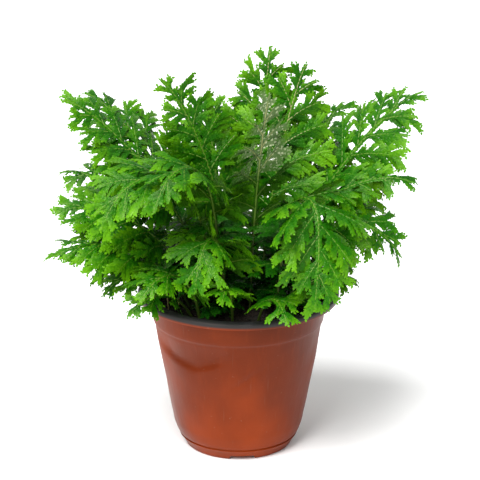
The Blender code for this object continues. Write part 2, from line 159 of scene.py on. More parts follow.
class Tree:
    """A small helper that adds and links the nodes of one node tree."""

    mix_colours = (6, 7)
    mix_result = 2

    def __init__(self, tree: bpy.types.NodeTree) -> None:
        """Start on a node tree.

        Args:
            tree: The tree to add nodes to.
        """
        self.tree = tree

    def fill(self, socket: Socket, value: object) -> None:
        """Link a socket to another one, or set its value."""
        if isinstance(value, Socket):
            self.tree.links.new(value, socket)
        else:
            socket.default_value = value

    def node(self, kind: str, settings: dict | None = None, **inputs: object) -> bpy.types.Node:
        """Add a node.

        Args:
            kind: The node's type name.
            settings: Properties of the node, by name.
            **inputs: Values or sockets for its inputs, by name with _ for a space, or iN for input N.

        Returns:
            The new node.
        """
        made = self.tree.nodes.new(kind)
        for name, value in (settings or {}).items():
            setattr(made, name, value)
        for name, value in inputs.items():
            is_number = name[0] == "i" and name[1:].isdigit()
            self.fill(made.inputs[int(name[1:]) if is_number else name.replace("_", " ")], value)
        return made

    def math(self, operation: str, first: object, second: object = 0.0) -> Socket:
        """Add a Math node and return its result."""
        return self.node("ShaderNodeMath", {"operation": operation}, i0=first, i1=second).outputs[0]

    def vector(self, operation: str, first: object, second: object) -> Socket:
        """Add a Vector Math node with two vectors and return its result."""
        return self.node("ShaderNodeVectorMath", {"operation": operation}, i0=first, i1=second).outputs[0]

    def scaled(self, vector: object, factor: object) -> Socket:
        """Add a Vector Math node that scales a vector and return its result."""
        return self.node("ShaderNodeVectorMath", {"operation": "SCALE"}, i0=vector, Scale=factor).outputs[0]

    def swing(self, value: object, amount: float) -> Socket:
        """Turn a value from 0 to 1 into one from minus to plus half an amount."""
        return self.math("MULTIPLY", self.math("SUBTRACT", value, 0.5), amount)

    def between(self, value: object, span: Range) -> Socket:
        """Map a value smoothly over a range, held at its ends, and return the result."""
        ends = {f"i{k}": end for k, end in enumerate(span, 1)}
        settings = {"interpolation_type": "SMOOTHSTEP"}
        return self.node("ShaderNodeMapRange", settings, i0=value, **ends).outputs[0]

    def attribute(self, name: str) -> Socket:
        """Read a number that is stored on the mesh, in a material."""
        return self.node("ShaderNodeAttribute", {"attribute_name": name}).outputs["Fac"]

    def object_place(self) -> Socket:
        """The object coordinates of the shaded point."""
        return self.node("ShaderNodeTexCoord").outputs["Object"]

    def noise(self, scale: float, detail: float, roughness: float = 0.6, where: object = None) -> Socket:
        """Add a noise texture.

        Args:
            scale: Its size, in patterns a metre.
            detail: Its octaves.
            roughness: How strong the fine ones are.
            where: What it is read at, or None for Object coordinates.

        Returns:
            Its value, about 0.5 in the middle.
        """
        place = self.object_place() if where is None else where
        settings = {"Vector": place, "Scale": scale, "Detail": detail, "Roughness": roughness}
        return self.node("ShaderNodeTexNoise", **settings).outputs[0]

    def ramp(self, value: object, stops: Sequence[float], colours: Sequence[Colour]) -> Socket:
        """Add a colour ramp.

        Args:
            value: What it reads.
            stops: Places from 0 to 1, in order.
            colours: The colours there.

        Returns:
            Its colour.
        """
        made = self.node("ShaderNodeValToRGB", Fac=value)
        elements = made.color_ramp.elements
        while len(elements) < len(stops):
            elements.new(1.0)
        for element, place, colour in zip(elements, stops, colours):
            element.position = place
            element.color = (*colour, 1.0)
        return made.outputs[0]

    def mix(self, factor: object, first: object, second: object) -> Socket:
        """Mix two colours and return the result."""
        made = self.node("ShaderNodeMix", {"data_type": "RGBA"}, i0=factor)
        for index, value in zip(self.mix_colours, (first, second)):
            self.fill(made.inputs[index], value if isinstance(value, Socket) else (*value, 1.0))
        return made.outputs[self.mix_result]


class GeometryTree(Tree):
    """A Geometry Nodes tree with named inputs, which turns a carrier object into a plain mesh."""

    def __init__(self, name: str, kinds: dict[str, str]) -> None:
        """Start a tree with a geometry input, named inputs and a geometry output.

        Args:
            name: The tree's name.
            kinds: The kinds of its other inputs, by name.
        """
        super().__init__(bpy.data.node_groups.new(name, "GeometryNodeTree"))
        new = self.tree.interface.new_socket
        new("Geometry", in_out="INPUT", socket_type="NodeSocketGeometry")
        self.sockets: dict[str, str] = {}
        for label, kind in kinds.items():
            self.sockets[label] = new(label, in_out="INPUT", socket_type=f"NodeSocket{kind}").identifier
        new("Geometry", in_out="OUTPUT", socket_type="NodeSocketGeometry")
        self.given = self.tree.nodes.new("NodeGroupInput").outputs

    def named(self, name: str, kind: str = "FLOAT") -> Socket:
        """Read an attribute of the geometry."""
        return self.node("GeometryNodeInputNamedAttribute", {"data_type": kind}, Name=name).outputs[0]

    def random(self, span: Pair, seed: object) -> Socket:
        """A random number for each point."""
        settings = {"data_type": "FLOAT"}
        return self.node("FunctionNodeRandomValue", settings, Min=span[0], Max=span[1], Seed=seed).outputs[1]

    def compare(self, operation: str, first: object, second: object) -> Socket:
        """Add a Compare node for two numbers and return its result."""
        settings = {"data_type": "FLOAT", "operation": operation}
        return self.node("FunctionNodeCompare", settings, i0=first, i1=second).outputs[0]

    def stored(self, geometry: object, domain: str, name: str, value: object) -> Socket:
        """Store a number on a geometry and return the geometry."""
        settings = {"data_type": "FLOAT", "domain": domain}
        given = {"Geometry": geometry, "Name": name, "Value": value}
        return self.node("GeometryNodeStoreNamedAttribute", settings, **given).outputs[0]

    def set_on(
        self, points: object, thing: bpy.types.Object, turn: Socket, size: Socket, **more: object
    ) -> Socket:
        """Set an object on points, turned and scaled, and return the instances."""
        shape = self.node("GeometryNodeObjectInfo", Object=thing, As_Instance=True).outputs["Geometry"]
        scale = self.node("ShaderNodeCombineXYZ", X=size, Y=size, Z=size).outputs[0]
        placing = {"Points": points, "Instance": shape, "Rotation": turn, "Scale": scale}
        return self.node("GeometryNodeInstanceOnPoints", **placing, **more).outputs[0]

    def realized(self, parts: Iterable[Socket]) -> Socket:
        """Join geometries and make their instances real."""
        made = self.tree.nodes.new("GeometryNodeJoinGeometry")
        for part in parts:
            self.fill(made.inputs[0], part)
        return self.node("GeometryNodeRealizeInstances", Geometry=made.outputs[0]).outputs[0]

    def painted(self, geometry: object, material: object, **more: object) -> Socket:
        """Give a geometry its material and return it."""
        return self.node("GeometryNodeSetMaterial", Geometry=geometry, Material=material, **more).outputs[0]

    def finish(self, geometry: Socket) -> None:
        """Make a geometry the tree's result."""
        self.fill(self.tree.nodes.new("NodeGroupOutput").inputs[0], geometry)

    def apply(self, carrier: bpy.types.Object, values: dict[str, object]) -> bpy.types.Mesh:
        """Run the tree on a carrier, which is then removed.

        Args:
            carrier: The object that the tree works on.
            values: The tree's inputs, by name.

        Returns:
            The finished mesh.
        """
        modifier = carrier.modifiers.new("grown", "NODES")
        modifier.node_group = self.tree
        for name, value in values.items():
            modifier[self.sockets[name]] = value
        return meshed(carrier)


# Finishes


class Finish:
    """A procedural material, made once and then shared."""

    name = "finish"

    def dress(self, tree: Tree, shader: bpy.types.Node) -> None:
        """Add the finish's nodes and link them to the shader.

        Args:
            tree: The material's node tree.
            shader: Its Principled BSDF.
        """
        raise NotImplementedError

    def material(self) -> bpy.types.Material:
        """The finish's material, made at its first use."""
        made = bpy.data.materials.get(self.name)
        if made is None:
            made = bpy.data.materials.new(self.name)
            made.use_nodes = True
            self.dress(Tree(made.node_tree), made.node_tree.nodes["Principled BSDF"])
        return made

    @staticmethod
    def bump(tree: Tree, shader: bpy.types.Node, height: object, strength: float, distance: float) -> None:
        """Give the shader a bump from a height.

        Args:
            tree: The material's node tree.
            shader: Its Principled BSDF.
            height: The height's socket.
            strength: The share of the bump that shows.
            distance: How high a height of 1 is, in metres.
        """
        made = tree.node("ShaderNodeBump", Height=height, Strength=strength, Distance=distance)
        tree.fill(shader.inputs["Normal"], made.outputs[0])


@dataclass(frozen=True)
class Heart:
    """The young upright fronds in the middle of the plant's top, which are paler than the rest."""

    centre: float = 15.0 * MM
    half_width: float = 34.0 * MM
    low: float = 150.0 * MM
    high: float = 170.0 * MM
    most: float = 0.75

    def nearness(self, tree: Tree) -> Socket:
        """How near a shaded point is to them, from 0 to the most."""
        place = tree.node("ShaderNodeSeparateXYZ", Vector=tree.object_place()).outputs
        aside = tree.math("ABSOLUTE", tree.math("SUBTRACT", place[0], self.centre))
        near = tree.between(aside, (self.half_width / 2.0, self.half_width, 1.0, 0.0))
        return tree.math("MULTIPLY", near, tree.between(place[2], (self.low, self.high, 0.0, self.most)))


@dataclass(frozen=True)
class LeafFinish(Finish):
    """Glossy scale leaves: deep green on older leaves and, partly as painted shade, on the short shoots
    inside the plant; fresh at the tips, silvery beneath in its heart.
    """

    name: str = "spikemoss_leaf"
    deep: Colour = (0.0015, 0.038, 0.0010)
    middle: Colour = (0.012, 0.105, 0.0009)
    fresh: Colour = (0.088, 0.262, 0.0025)
    beneath: Colour = (0.036, 0.110, 0.004)
    silver: Colour = (0.640, 0.690, 0.440)
    shine: Colour = (0.80, 1.00, 0.45)
    specular: float = 0.2
    patch_scale: float = 55.0
    patch_swing: float = 0.55
    tint_swing: float = 0.16
    speckle_scale: float = 750.0
    tone_stops: Triple = (0.05, 0.50, 1.0)
    beneath_by_tone: Range = (0.3, 0.9, 0.6, 0.1)
    silver_by_tint: Range = (0.25, 0.5, 0.2, 1.0)
    silver_by_tone: Range = (0.45, 0.85, 1.0, 0.1)
    rough_by_speckle: Range = (0.3, 0.7, 0.21, 0.41)
    bump_strength: float = 0.6
    bump_height: float = 0.5 * MM

    def dress(self, tree: Tree, shader: bpy.types.Node) -> None:
        """Add the leaf's colours and its cells' fine bump."""
        patches = tree.noise(self.patch_scale, detail=2.0)
        speckle = tree.noise(self.speckle_scale, detail=2.0)
        tint = tree.attribute("tint")
        under = tree.attribute("under")
        tone = tree.math("ADD", tree.attribute("age"), tree.swing(patches, self.patch_swing))
        tone = tree.math("ADD", tone, tree.swing(tint, self.tint_swing))
        top = tree.ramp(tone, self.tone_stops, (self.deep, self.middle, self.fresh))
        paler = tree.math("MULTIPLY", under, tree.between(tone, self.beneath_by_tone))
        silvery = tree.math("MULTIPLY", under, tree.between(tint, self.silver_by_tint))
        silvery = tree.math("MULTIPLY", silvery, tree.between(tone, self.silver_by_tone))
        silvery = tree.math("MULTIPLY", silvery, Heart().nearness(tree))
        colour = tree.mix(silvery, tree.mix(paler, top, self.beneath), self.silver)
        tree.fill(shader.inputs["Base Color"], colour)
        tree.fill(shader.inputs["Roughness"], tree.between(speckle, self.rough_by_speckle))
        self.bump(tree, shader, speckle, self.bump_strength, self.bump_height)
        shader.inputs["Specular IOR Level"].default_value = self.specular
        shader.inputs["Specular Tint"].default_value = (*self.shine, 1.0)


@dataclass(frozen=True)
class StemFinish(Finish):
    """Wiry stems and aerial roots: straw at the soil, olive green among the leaves, cream in the heart."""

    name: str = "spikemoss_stem"
    straw: Colour = (0.300, 0.260, 0.090)
    olive: Colour = (0.035, 0.060, 0.008)
    green: Colour = (0.105, 0.205, 0.012)
    cream: Colour = (0.360, 0.340, 0.140)
    roughness: float = 0.5
    patch_scale: float = 260.0
    patch_swing: float = 0.15
    tone_stops: Triple = (0.10, 0.16, 0.40)
    bump_strength: float = 0.35
    bump_height: float = 0.3 * MM

    def dress(self, tree: Tree, shader: bpy.types.Node) -> None:
        """Add the change from straw to olive and cream, and fine ridges."""
        patches = tree.noise(self.patch_scale, detail=3.0)
        tone = tree.math("ADD", tree.attribute("age"), tree.swing(patches, self.patch_swing))
        woody = tree.ramp(tone, self.tone_stops, (self.straw, self.olive, self.green))
        tree.fill(shader.inputs["Base Color"], tree.mix(Heart().nearness(tree), woody, self.cream))
        shader.inputs["Roughness"].default_value = self.roughness
        self.bump(tree, shader, patches, self.bump_strength, self.bump_height)


@dataclass(frozen=True)
class PotFinish(Finish):
    """Thin formed plastic: terracotta brown outside, black inside and on the rim, scuffed and glossy, with
    painted shade on its right side and its upper part.
    """

    name: str = "nursery_pot_plastic"
    brown: Colour = (0.128, 0.0168, 0.0025)
    warm: Colour = (0.222, 0.0300, 0.0036)
    # The darker brown: reached mostly where the painted shade on the right side and the upper part falls, and
    # also in the darkest cloudy patches
    dark: Colour = (0.092, 0.0118, 0.0021)
    black: Colour = (0.024, 0.024, 0.025)
    worn_black: Colour = (0.06, 0.055, 0.05)
    dust: Colour = (0.21, 0.12, 0.08)
    sheen: Colour = (1.0, 0.80, 0.65)
    specular: float = 0.16
    cloud_scale: float = 20.0
    cloud_share: float = 0.7
    # Painted shade: the brown is darkened towards the top and towards the right side
    painted_shade_by_height: Range = (30.0 * MM, 70.0 * MM, 0.0, 0.05)
    painted_shade_by_side: Range = (-12.0 * MM, 42.0 * MM, 0.0, 0.14)
    tone_and_shade_stops: Triple = (0.10, 0.25, 0.42)
    grain_scale: float = 420.0
    streak_stretch: Triple = (60.0, 60.0, 9.0)
    streak_scale: float = 6.0
    scratch_turn: Triple = (0.3, 0.5, 0.2)
    scratch_stretch: Triple = (900.0, 30.0, 60.0)
    warm_by_streak: Range = (0.5, 0.8, 0.0, 0.2)
    dust_by_grain: Range = (0.68, 0.76, 0.0, 0.35)
    dust_by_scratch: Range = (0.69, 0.74, 0.0, 0.08)
    wear_by_cloud: Range = (0.5, 0.75, 0.0, 0.25)
    rough_by_cloud: Range = (0.3, 0.7, 0.31, 0.53)
    rough_by_dust: float = 0.5
    streak_bump: float = 0.6
    grain_bump: float = 0.12
    bump_strength: float = 0.25
    bump_height: float = 0.6 * MM

    def dress(self, tree: Tree, shader: bpy.types.Node) -> None:
        """Add the two plastics, cloudy patches, dust specks, fine scratches and stretch marks, and painted
        shade that darkens the brown towards the right and towards the top.
        """
        place = tree.object_place()
        where = tree.node("ShaderNodeSeparateXYZ", Vector=place).outputs
        clouds = tree.noise(self.cloud_scale, detail=3.0, roughness=0.5)
        grain = tree.noise(self.grain_scale, detail=3.0)
        drawn = tree.node("ShaderNodeMapping", Vector=place, Scale=self.streak_stretch).outputs[0]
        streaks = tree.noise(self.streak_scale, detail=4.0, where=drawn)
        turned = {"Rotation": self.scratch_turn, "Scale": self.scratch_stretch}
        slanted = tree.node("ShaderNodeMapping", Vector=place, **turned).outputs[0]
        scratches = tree.noise(1.0, detail=2.0, roughness=0.5, where=slanted)
        # Painted shade: the cloudy patches' tone is lowered towards the top and the right side, which leads
        # the ramp to its dark end
        high = tree.between(where[2], self.painted_shade_by_height)
        painted_shade_right = tree.between(where[0], self.painted_shade_by_side)
        tone_and_painted_shade = tree.math("MULTIPLY", clouds, self.cloud_share)
        tone_and_painted_shade = tree.math("SUBTRACT", tone_and_painted_shade, tree.math("ADD", high, painted_shade_right))
        brown = tree.ramp(tone_and_painted_shade, self.tone_and_shade_stops, (self.dark, self.brown, self.warm))
        brown = tree.mix(tree.between(streaks, self.warm_by_streak), brown, self.warm)
        specks = tree.between(grain, self.dust_by_grain)
        brown = tree.mix(specks, brown, self.dust)
        brown = tree.mix(tree.between(scratches, self.dust_by_scratch), brown, self.dust)
        rim = tree.mix(tree.between(clouds, self.wear_by_cloud), self.black, self.worn_black)
        tree.fill(shader.inputs["Base Color"], tree.mix(tree.attribute("black"), brown, rim))
        rough = tree.between(clouds, self.rough_by_cloud)
        rough = tree.math("ADD", rough, tree.math("MULTIPLY", specks, self.rough_by_dust))
        tree.fill(shader.inputs["Roughness"], rough)
        waves = tree.math("MULTIPLY", streaks, self.streak_bump)
        waves = tree.math("ADD", waves, tree.math("MULTIPLY", grain, self.grain_bump))
        self.bump(tree, shader, waves, self.bump_strength, self.bump_height)
        shader.inputs["Specular IOR Level"].default_value = self.specular
        shader.inputs["Specular Tint"].default_value = (*self.sheen, 1.0)


@dataclass(frozen=True)
class MixFinish(Finish):
    """Moist dark potting mix with bark crumbs and pale fibres."""

    name: str = "potting_mix_crumbs"
    dark: Colour = (0.006, 0.005, 0.003)
    brown: Colour = (0.028, 0.017, 0.009)
    fibre: Colour = (0.080, 0.050, 0.025)
    roughness: float = 0.9
    crumb_scale: float = 420.0
    lump_scale: float = 240.0
    lump_stops: Triple = (0.35, 0.62, 0.80)
    crumb_bump: float = 0.6
    bump_strength: float = 0.8
    bump_height: float = 1.2 * MM

    def dress(self, tree: Tree, shader: bpy.types.Node) -> None:
        """Add crumbs of two browns with a rough broken surface."""
        place = tree.object_place()
        crumbs = tree.node("ShaderNodeTexVoronoi", Vector=place, Scale=self.crumb_scale).outputs[0]
        lumps = tree.noise(self.lump_scale, detail=5.0, roughness=0.7)
        colour = tree.ramp(lumps, self.lump_stops, (self.dark, self.brown, self.fibre))
        tree.fill(shader.inputs["Base Color"], colour)
        shader.inputs["Roughness"].default_value = self.roughness
        height = tree.math("ADD", lumps, tree.math("MULTIPLY", crumbs, self.crumb_bump))
        self.bump(tree, shader, height, self.bump_strength, self.bump_height)


@dataclass(frozen=True)
class FloorFinish(Finish):
    """The plain pale floor."""

    name: str = "pale_floor"
    colour: Colour = (0.97, 0.97, 0.965)
    darker: float = 0.985
    roughness: float = 0.8
    mottle_scale: float = 12.0
    mottle: Range = (0.2, 0.8, 0.0, 1.0)

    def dress(self, tree: Tree, shader: bpy.types.Node) -> None:
        """Add a very faint mottle."""
        mottle = tree.between(tree.noise(self.mottle_scale, detail=2.0), self.mottle)
        darker = tuple(self.darker * part for part in self.colour)
        tree.fill(shader.inputs["Base Color"], tree.mix(mottle, darker, self.colour))
        shader.inputs["Roughness"].default_value = self.roughness


# The leafy stems' form


@dataclass
class Place:
    """A point on a rib, the way the rib runs there and the way the blade faces."""

    point: Vector
    along: Vector
    face: Vector

    @property
    def across(self) -> Vector:
        """To the left of the rib, seen from the side that the blade faces."""
        return self.face.cross(self.along)


Rib = list[Place]


def squared(along: Vector, face: Vector, degrees: float = 0.0) -> Vector:
    """A blade's facing made square to its rib and turned about it.

    Args:
        along: The way the rib runs.
        face: The facing so far.
        degrees: How far it turns.

    Returns:
        The new facing, of length 1.
    """
    square = (face - along * along.dot(face)).normalized()
    angle = math.radians(degrees)
    return square * math.cos(angle) + square.cross(along) * math.sin(angle)


def at_share(rib: Rib, share: float) -> Place:
    """The place at a share of a rib's length."""
    where = held(share) * (len(rib) - 1)
    low = min(int(where), len(rib) - 2)
    part = where - low
    first, second = rib[low], rib[low + 1]
    along = first.along.lerp(second.along, part).normalized()
    face = squared(along, first.face.lerp(second.face, part))
    return Place(first.point.lerp(second.point, part), along, face)


def grown_rib(start: Place, direction: Vector, length: float, sag: float, steps: int = 8) -> Rib:
    """A rib that leaves a place and sinks a little under its own weight.

    Args:
        start: Where it leaves, and the facing it starts with.
        direction: The way it leaves.
        length: Its length.
        sag: How far its end turns down, as a share of its direction.
        steps: How many straight pieces it has.

    Returns:
        Its places.
    """
    places = []
    point, face = start.point.copy(), start.face
    for k in range(steps + 1):
        along = (direction - UP * (sag * k / steps)).normalized()
        face = squared(along, face)
        places.append(Place(point.copy(), along, face))
        point += along * (length / steps)
    return places


@dataclass(frozen=True)
class Habit:
    """How all leafy stems bend and branch, as their solids do. Angles are in degrees.

    The side branches lengthen from the first one and shorten again past a share of the leafy part. A nudge is
    the most that a stem was turned and bent either way, in the order of its draws.
    """

    arch_steps: int = 48
    arch_power: float = 1.5
    face_turn: float = 32.0
    roll_rate: float = 1.5
    last_share: float = 0.93
    first_angle: float = 56.0
    angle_drop: float = 26.0
    first_length: float = 0.74
    lengthening: float = 1.3
    shortening: float = 0.56
    shortening_from: float = 0.25
    shortening_power: float = 1.25
    end_lobe: float = 5.6 * MM
    tries: int = 160
    least_nudge: float = 0.15
    seed_step: int = 1000
    nudges: tuple[tuple[str, float, float], ...] = (
        ("azimuth", -18.0, 18.0),
        ("root", -5.0, 5.0),
        ("lean", -8.0, 8.0),
        ("tip_lean", -16.0, 16.0),
        ("sway", -16.0, 16.0),
        ("turn", -30.0, 30.0),
        ("sag", -0.3, 0.2),
    )


HABIT = Habit()


@dataclass(frozen=True)
class LeafyStem:
    """How one leafy stem leaves the potting mix, arches and branches. Lengths in mm, angles in degrees."""

    azimuth: float
    root: float
    lean: float
    tip_lean: float
    length: float
    reach: float
    branches: int = 9
    bare: float = 0.34
    sway: float = 0.0
    turn: float = 0.0
    sag: float = 0.5
    bend: Pair = (0.0, 1.0)
    aerial_root: float = 0.0

    def spine(self) -> Rib:
        """The stem's arch, from the potting mix to the end of its main rib."""
        places = []
        step = self.length * MM / HABIT.arch_steps
        base = math.radians(self.azimuth)
        point = Vector((self.root * MM * math.cos(base), self.root * MM * math.sin(base), MIX_HEIGHT))
        for k in range(HABIT.arch_steps + 1):
            share = k / HABIT.arch_steps
            bent = held((share - self.bend[0]) / (self.bend[1] - self.bend[0]))
            lean = math.radians(mixed((self.lean, self.tip_lean), bent**HABIT.arch_power))
            way = math.radians(self.azimuth + self.sway * share * share)
            out = Vector((math.cos(way), math.sin(way), 0.0))
            along = out * math.sin(lean) + UP * math.cos(lean)
            face = UP * math.sin(lean) - out * math.cos(lean)
            roll = -(HABIT.face_turn * math.cos(way) + self.turn) * min(1.0, HABIT.roll_rate * share)
            places.append(Place(point.copy(), along, squared(along, face, roll)))
            point += along * step
        return places

    def leafy_shares(self) -> list[float]:
        """The shares of the main rib at which its side branches begin and end."""
        step = (HABIT.last_share - self.bare) / self.branches
        return [self.bare + step * k for k in range(self.branches + 1)]

    def branch_length(self, index: int) -> float:
        """The length of a side branch: longest a little above the first, then ever shorter."""
        share = index / (self.branches - 1)
        past = max(0.0, (share - HABIT.shortening_from) / (1.0 - HABIT.shortening_from))
        falling = 1.0 - HABIT.shortening * past**HABIT.shortening_power
        return self.reach * MM * min(HABIT.first_length + HABIT.lengthening * share, falling, 1.0)

    def side_ribs(self, spine: Rib) -> list[tuple[Side, Rib]]:
        """The side branches: for each, its side and its own rib."""
        shares = self.leafy_shares()
        found = []
        for k in range(self.branches):
            side = Side.LEFT if k % 2 == 0 else Side.RIGHT
            start = at_share(spine, (shares[k] + shares[k + 1]) / 2.0)
            angle = math.radians(HABIT.first_angle - HABIT.angle_drop * k / (self.branches - 1))
            direction = start.along * math.cos(angle) + start.across * side.value * math.sin(angle)
            found.append((side, grown_rib(start, direction, self.branch_length(k), self.sag)))
        return found

    def end_rib(self, spine: Rib) -> Rib:
        """The end of the frond, past its last side branch."""
        last = self.leafy_shares()[-1]
        start = at_share(spine, last)
        return grown_rib(start, start.along, self.length * MM * (1.0 - last) + HABIT.end_lobe, self.sag)

    def nudged(self, seed: int, attempt: int) -> "LeafyStem":
        """The stem as it was turned and bent at one attempt to stand clear of its neighbours."""
        if attempt == 0:
            return self
        draw = random.Random(HABIT.seed_step * seed + attempt)
        amount = mixed((HABIT.least_nudge, 1.0), attempt / HABIT.tries)
        changed = {name: getattr(self, name) + amount * draw.uniform(*span) for name, *span in HABIT.nudges}
        return replace(self, **changed)


@dataclass
class StemFinder:
    """Finds how each packed leafy stem stands, among the ways that its kind may be turned and bent."""

    sample_shares: tuple[float, ...] = (0.15, 0.4, 0.6, 0.75, 0.9, 1.0)
    branch_stride: int = 3
    give_up: float = 4.0 * MM

    def misfit(self, stem: LeafyStem, tree: BVHTree) -> float:
        """How far a stem's ribs lie from a node's surface, at most over a few samples.

        Args:
            stem: The stem to try.
            tree: The node's triangles.

        Returns:
            The largest distance in metres, or infinity as soon as one is past give_up.
        """
        spine = stem.spine()
        points = [at_share(spine, share).point for share in self.sample_shares]
        points += [rib[-1].point for _, rib in stem.side_ribs(spine)[:: self.branch_stride]]
        worst = 0.0
        for point in points:
            distance = tree.find_nearest(point)[-1]
            worst = max(worst, distance)
            if worst > self.give_up:
                return math.inf
        return worst

    def match(self, node: bpy.types.Object, nominals: Iterable[tuple[int, LeafyStem]]) -> LeafyStem:
        """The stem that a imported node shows.

        Args:
            node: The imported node.
            nominals: Seeds and stems that it may have come from.

        Returns:
            The best of all their nudged stems.
        """
        mesh = node.data
        tree = BVHTree.FromPolygons([v.co for v in mesh.vertices], [tuple(p.vertices) for p in mesh.polygons])
        best, least = None, math.inf
        for seed, nominal in nominals:
            for attempt in range(HABIT.tries):
                stem = nominal.nudged(seed, attempt)
                misfit = self.misfit(stem, tree)
                if misfit < least:
                    best, least = stem, misfit
        if best is None:
            raise RuntimeError(f"no leafy stem fits {node.name}")
        LOG.info("%s: ribs within %.2f mm of its solid", node.name, least / MM)
        return best


# Each row starts with azimuth, root, lean, tip lean, length, reach, branches and bare, as LeafyStem says
LEAFY_STEMS: tuple[LeafyStem, ...] = (
    LeafyStem(318, 26, 8, 160, 138, 35, 11, 0.44, bend=(0.30, 0.74), sag=0.35, sway=-75),
    LeafyStem(222, 15, 13, 138, 136, 34, 10, 0.36, bend=(0.30, 0.92), sway=4),
    LeafyStem(300, 12, 5, 16, 118, 24, 9, 0.40),
    LeafyStem(246, 12, 8, 140, 130, 27, 9, 0.42, bend=(0.42, 0.94)),
    LeafyStem(62, 20, 3, 12, 128, 28, 10, 0.40),
    LeafyStem(32, 14, 5, 22, 124, 32, 10, 0.38, turn=34),
    LeafyStem(181, 12, 19, 56, 135, 30, 11, 0.40, turn=-6),
    LeafyStem(190, 21, 24, 92, 98, 30, 10, 0.38, sway=3, aerial_root=0.26),
    LeafyStem(2, 16, 19, 50, 136, 34, 11, 0.40),
    LeafyStem(250, 20, 8, 150, 84, 27, 8, 0.30, bend=(0.3, 0.85)),
    LeafyStem(190, 4.6, 3, 35, 125, 24, 10, 0.42, turn=-53),
    LeafyStem(203, 26, 28, 106, 87, 28, 9, 0.36, aerial_root=0.3),
    LeafyStem(172, 29, 34, 112, 66, 24, 8, 0.32),
    LeafyStem(352, 20, 10, 92, 110, 15, 8, 0.46),
    LeafyStem(312, 36, 16, 112, 46, 18, 7, 0.30),
    LeafyStem(340, 28, 14, 130, 94, 26, 9, 0.36, bend=(0.2, 0.9), aerial_root=0.3),
    LeafyStem(232, 33, 14, 130, 62, 20, 7, 0.28),
    LeafyStem(154, 17, 18, 58, 129, 30, 10, 0.38),
    LeafyStem(118, 15, 8, 36, 103, 32, 10, 0.36),
    LeafyStem(100, 28, 8, 44, 102, 26, 8, 0.36),
    LeafyStem(40, 27, 12, 42, 106, 26, 9, 0.40, turn=6),
    LeafyStem(26, 22, 22, 86, 94, 28, 9, 0.36),
    LeafyStem(162, 22, 24, 88, 105, 28, 9, 0.34),
    LeafyStem(108, 23, 22, 96, 72, 26, 8, 0.34),
    LeafyStem(70, 24, 22, 98, 64, 24, 8, 0.34),
    LeafyStem(14, 28, 22, 118, 45, 20, 7, 0.30),
    LeafyStem(122, 32, 28, 120, 60, 24, 8, 0.32),
    LeafyStem(50, 31, 28, 120, 60, 24, 8, 0.32),
)
YOUNG_STEMS = 13
YOUNG_SEED = 700
YOUNG_NUDGE_SEED = 100


def young_stem(index: int) -> LeafyStem:
    """One of the young stems at the pot's wall, from seeded draws."""
    draw = random.Random(YOUNG_SEED + index)
    return LeafyStem(
        azimuth=(index + 0.5) * 360.0 / YOUNG_STEMS + draw.uniform(-6.0, 6.0),
        root=draw.uniform(26.0, 36.0),
        lean=draw.uniform(14.0, 38.0),
        tip_lean=draw.uniform(104.0, 146.0),
        length=draw.uniform(40.0, 60.0),
        reach=16.0,
        branches=4,
        bare=0.3,
        turn=draw.uniform(-12.0, 12.0),
        sag=0.3,
    )


# Growing the branchlets


@dataclass(frozen=True)
class Growth:
    """How thick and leafy a rib is, each from its base to its tip.

    The thickness is a radius, the leaf a share of the full leaf's size and the cover the share of places that
    carry one. Closing is how far the last leaves close up over the tip, from 0 to 1.
    """

    thick: Pair
    leaf: Pair
    cover: Pair = (1.0, 1.0)
    closing: float = 0.0


BARE_STEM = Growth((0.8 * MM, 0.7 * MM), (0.8, 0.95), cover=(0.25, 1.0))
LEAFY_PART = Growth((0.65 * MM, 0.3 * MM), (1.05, 0.95))
SIDE_BRANCH = Growth((0.36 * MM, 0.14 * MM), (0.95, 0.76), closing=0.6)
BRANCHLET = Growth((0.24 * MM, 0.12 * MM), (1.0, 0.84), closing=0.6)
FORK = Growth((0.18 * MM, 0.12 * MM), (0.92, 0.8), closing=0.6)
AERIAL_ROOT = Growth((0.5 * MM, 0.34 * MM), (0.0, 0.0), cover=(0.0, 0.0))


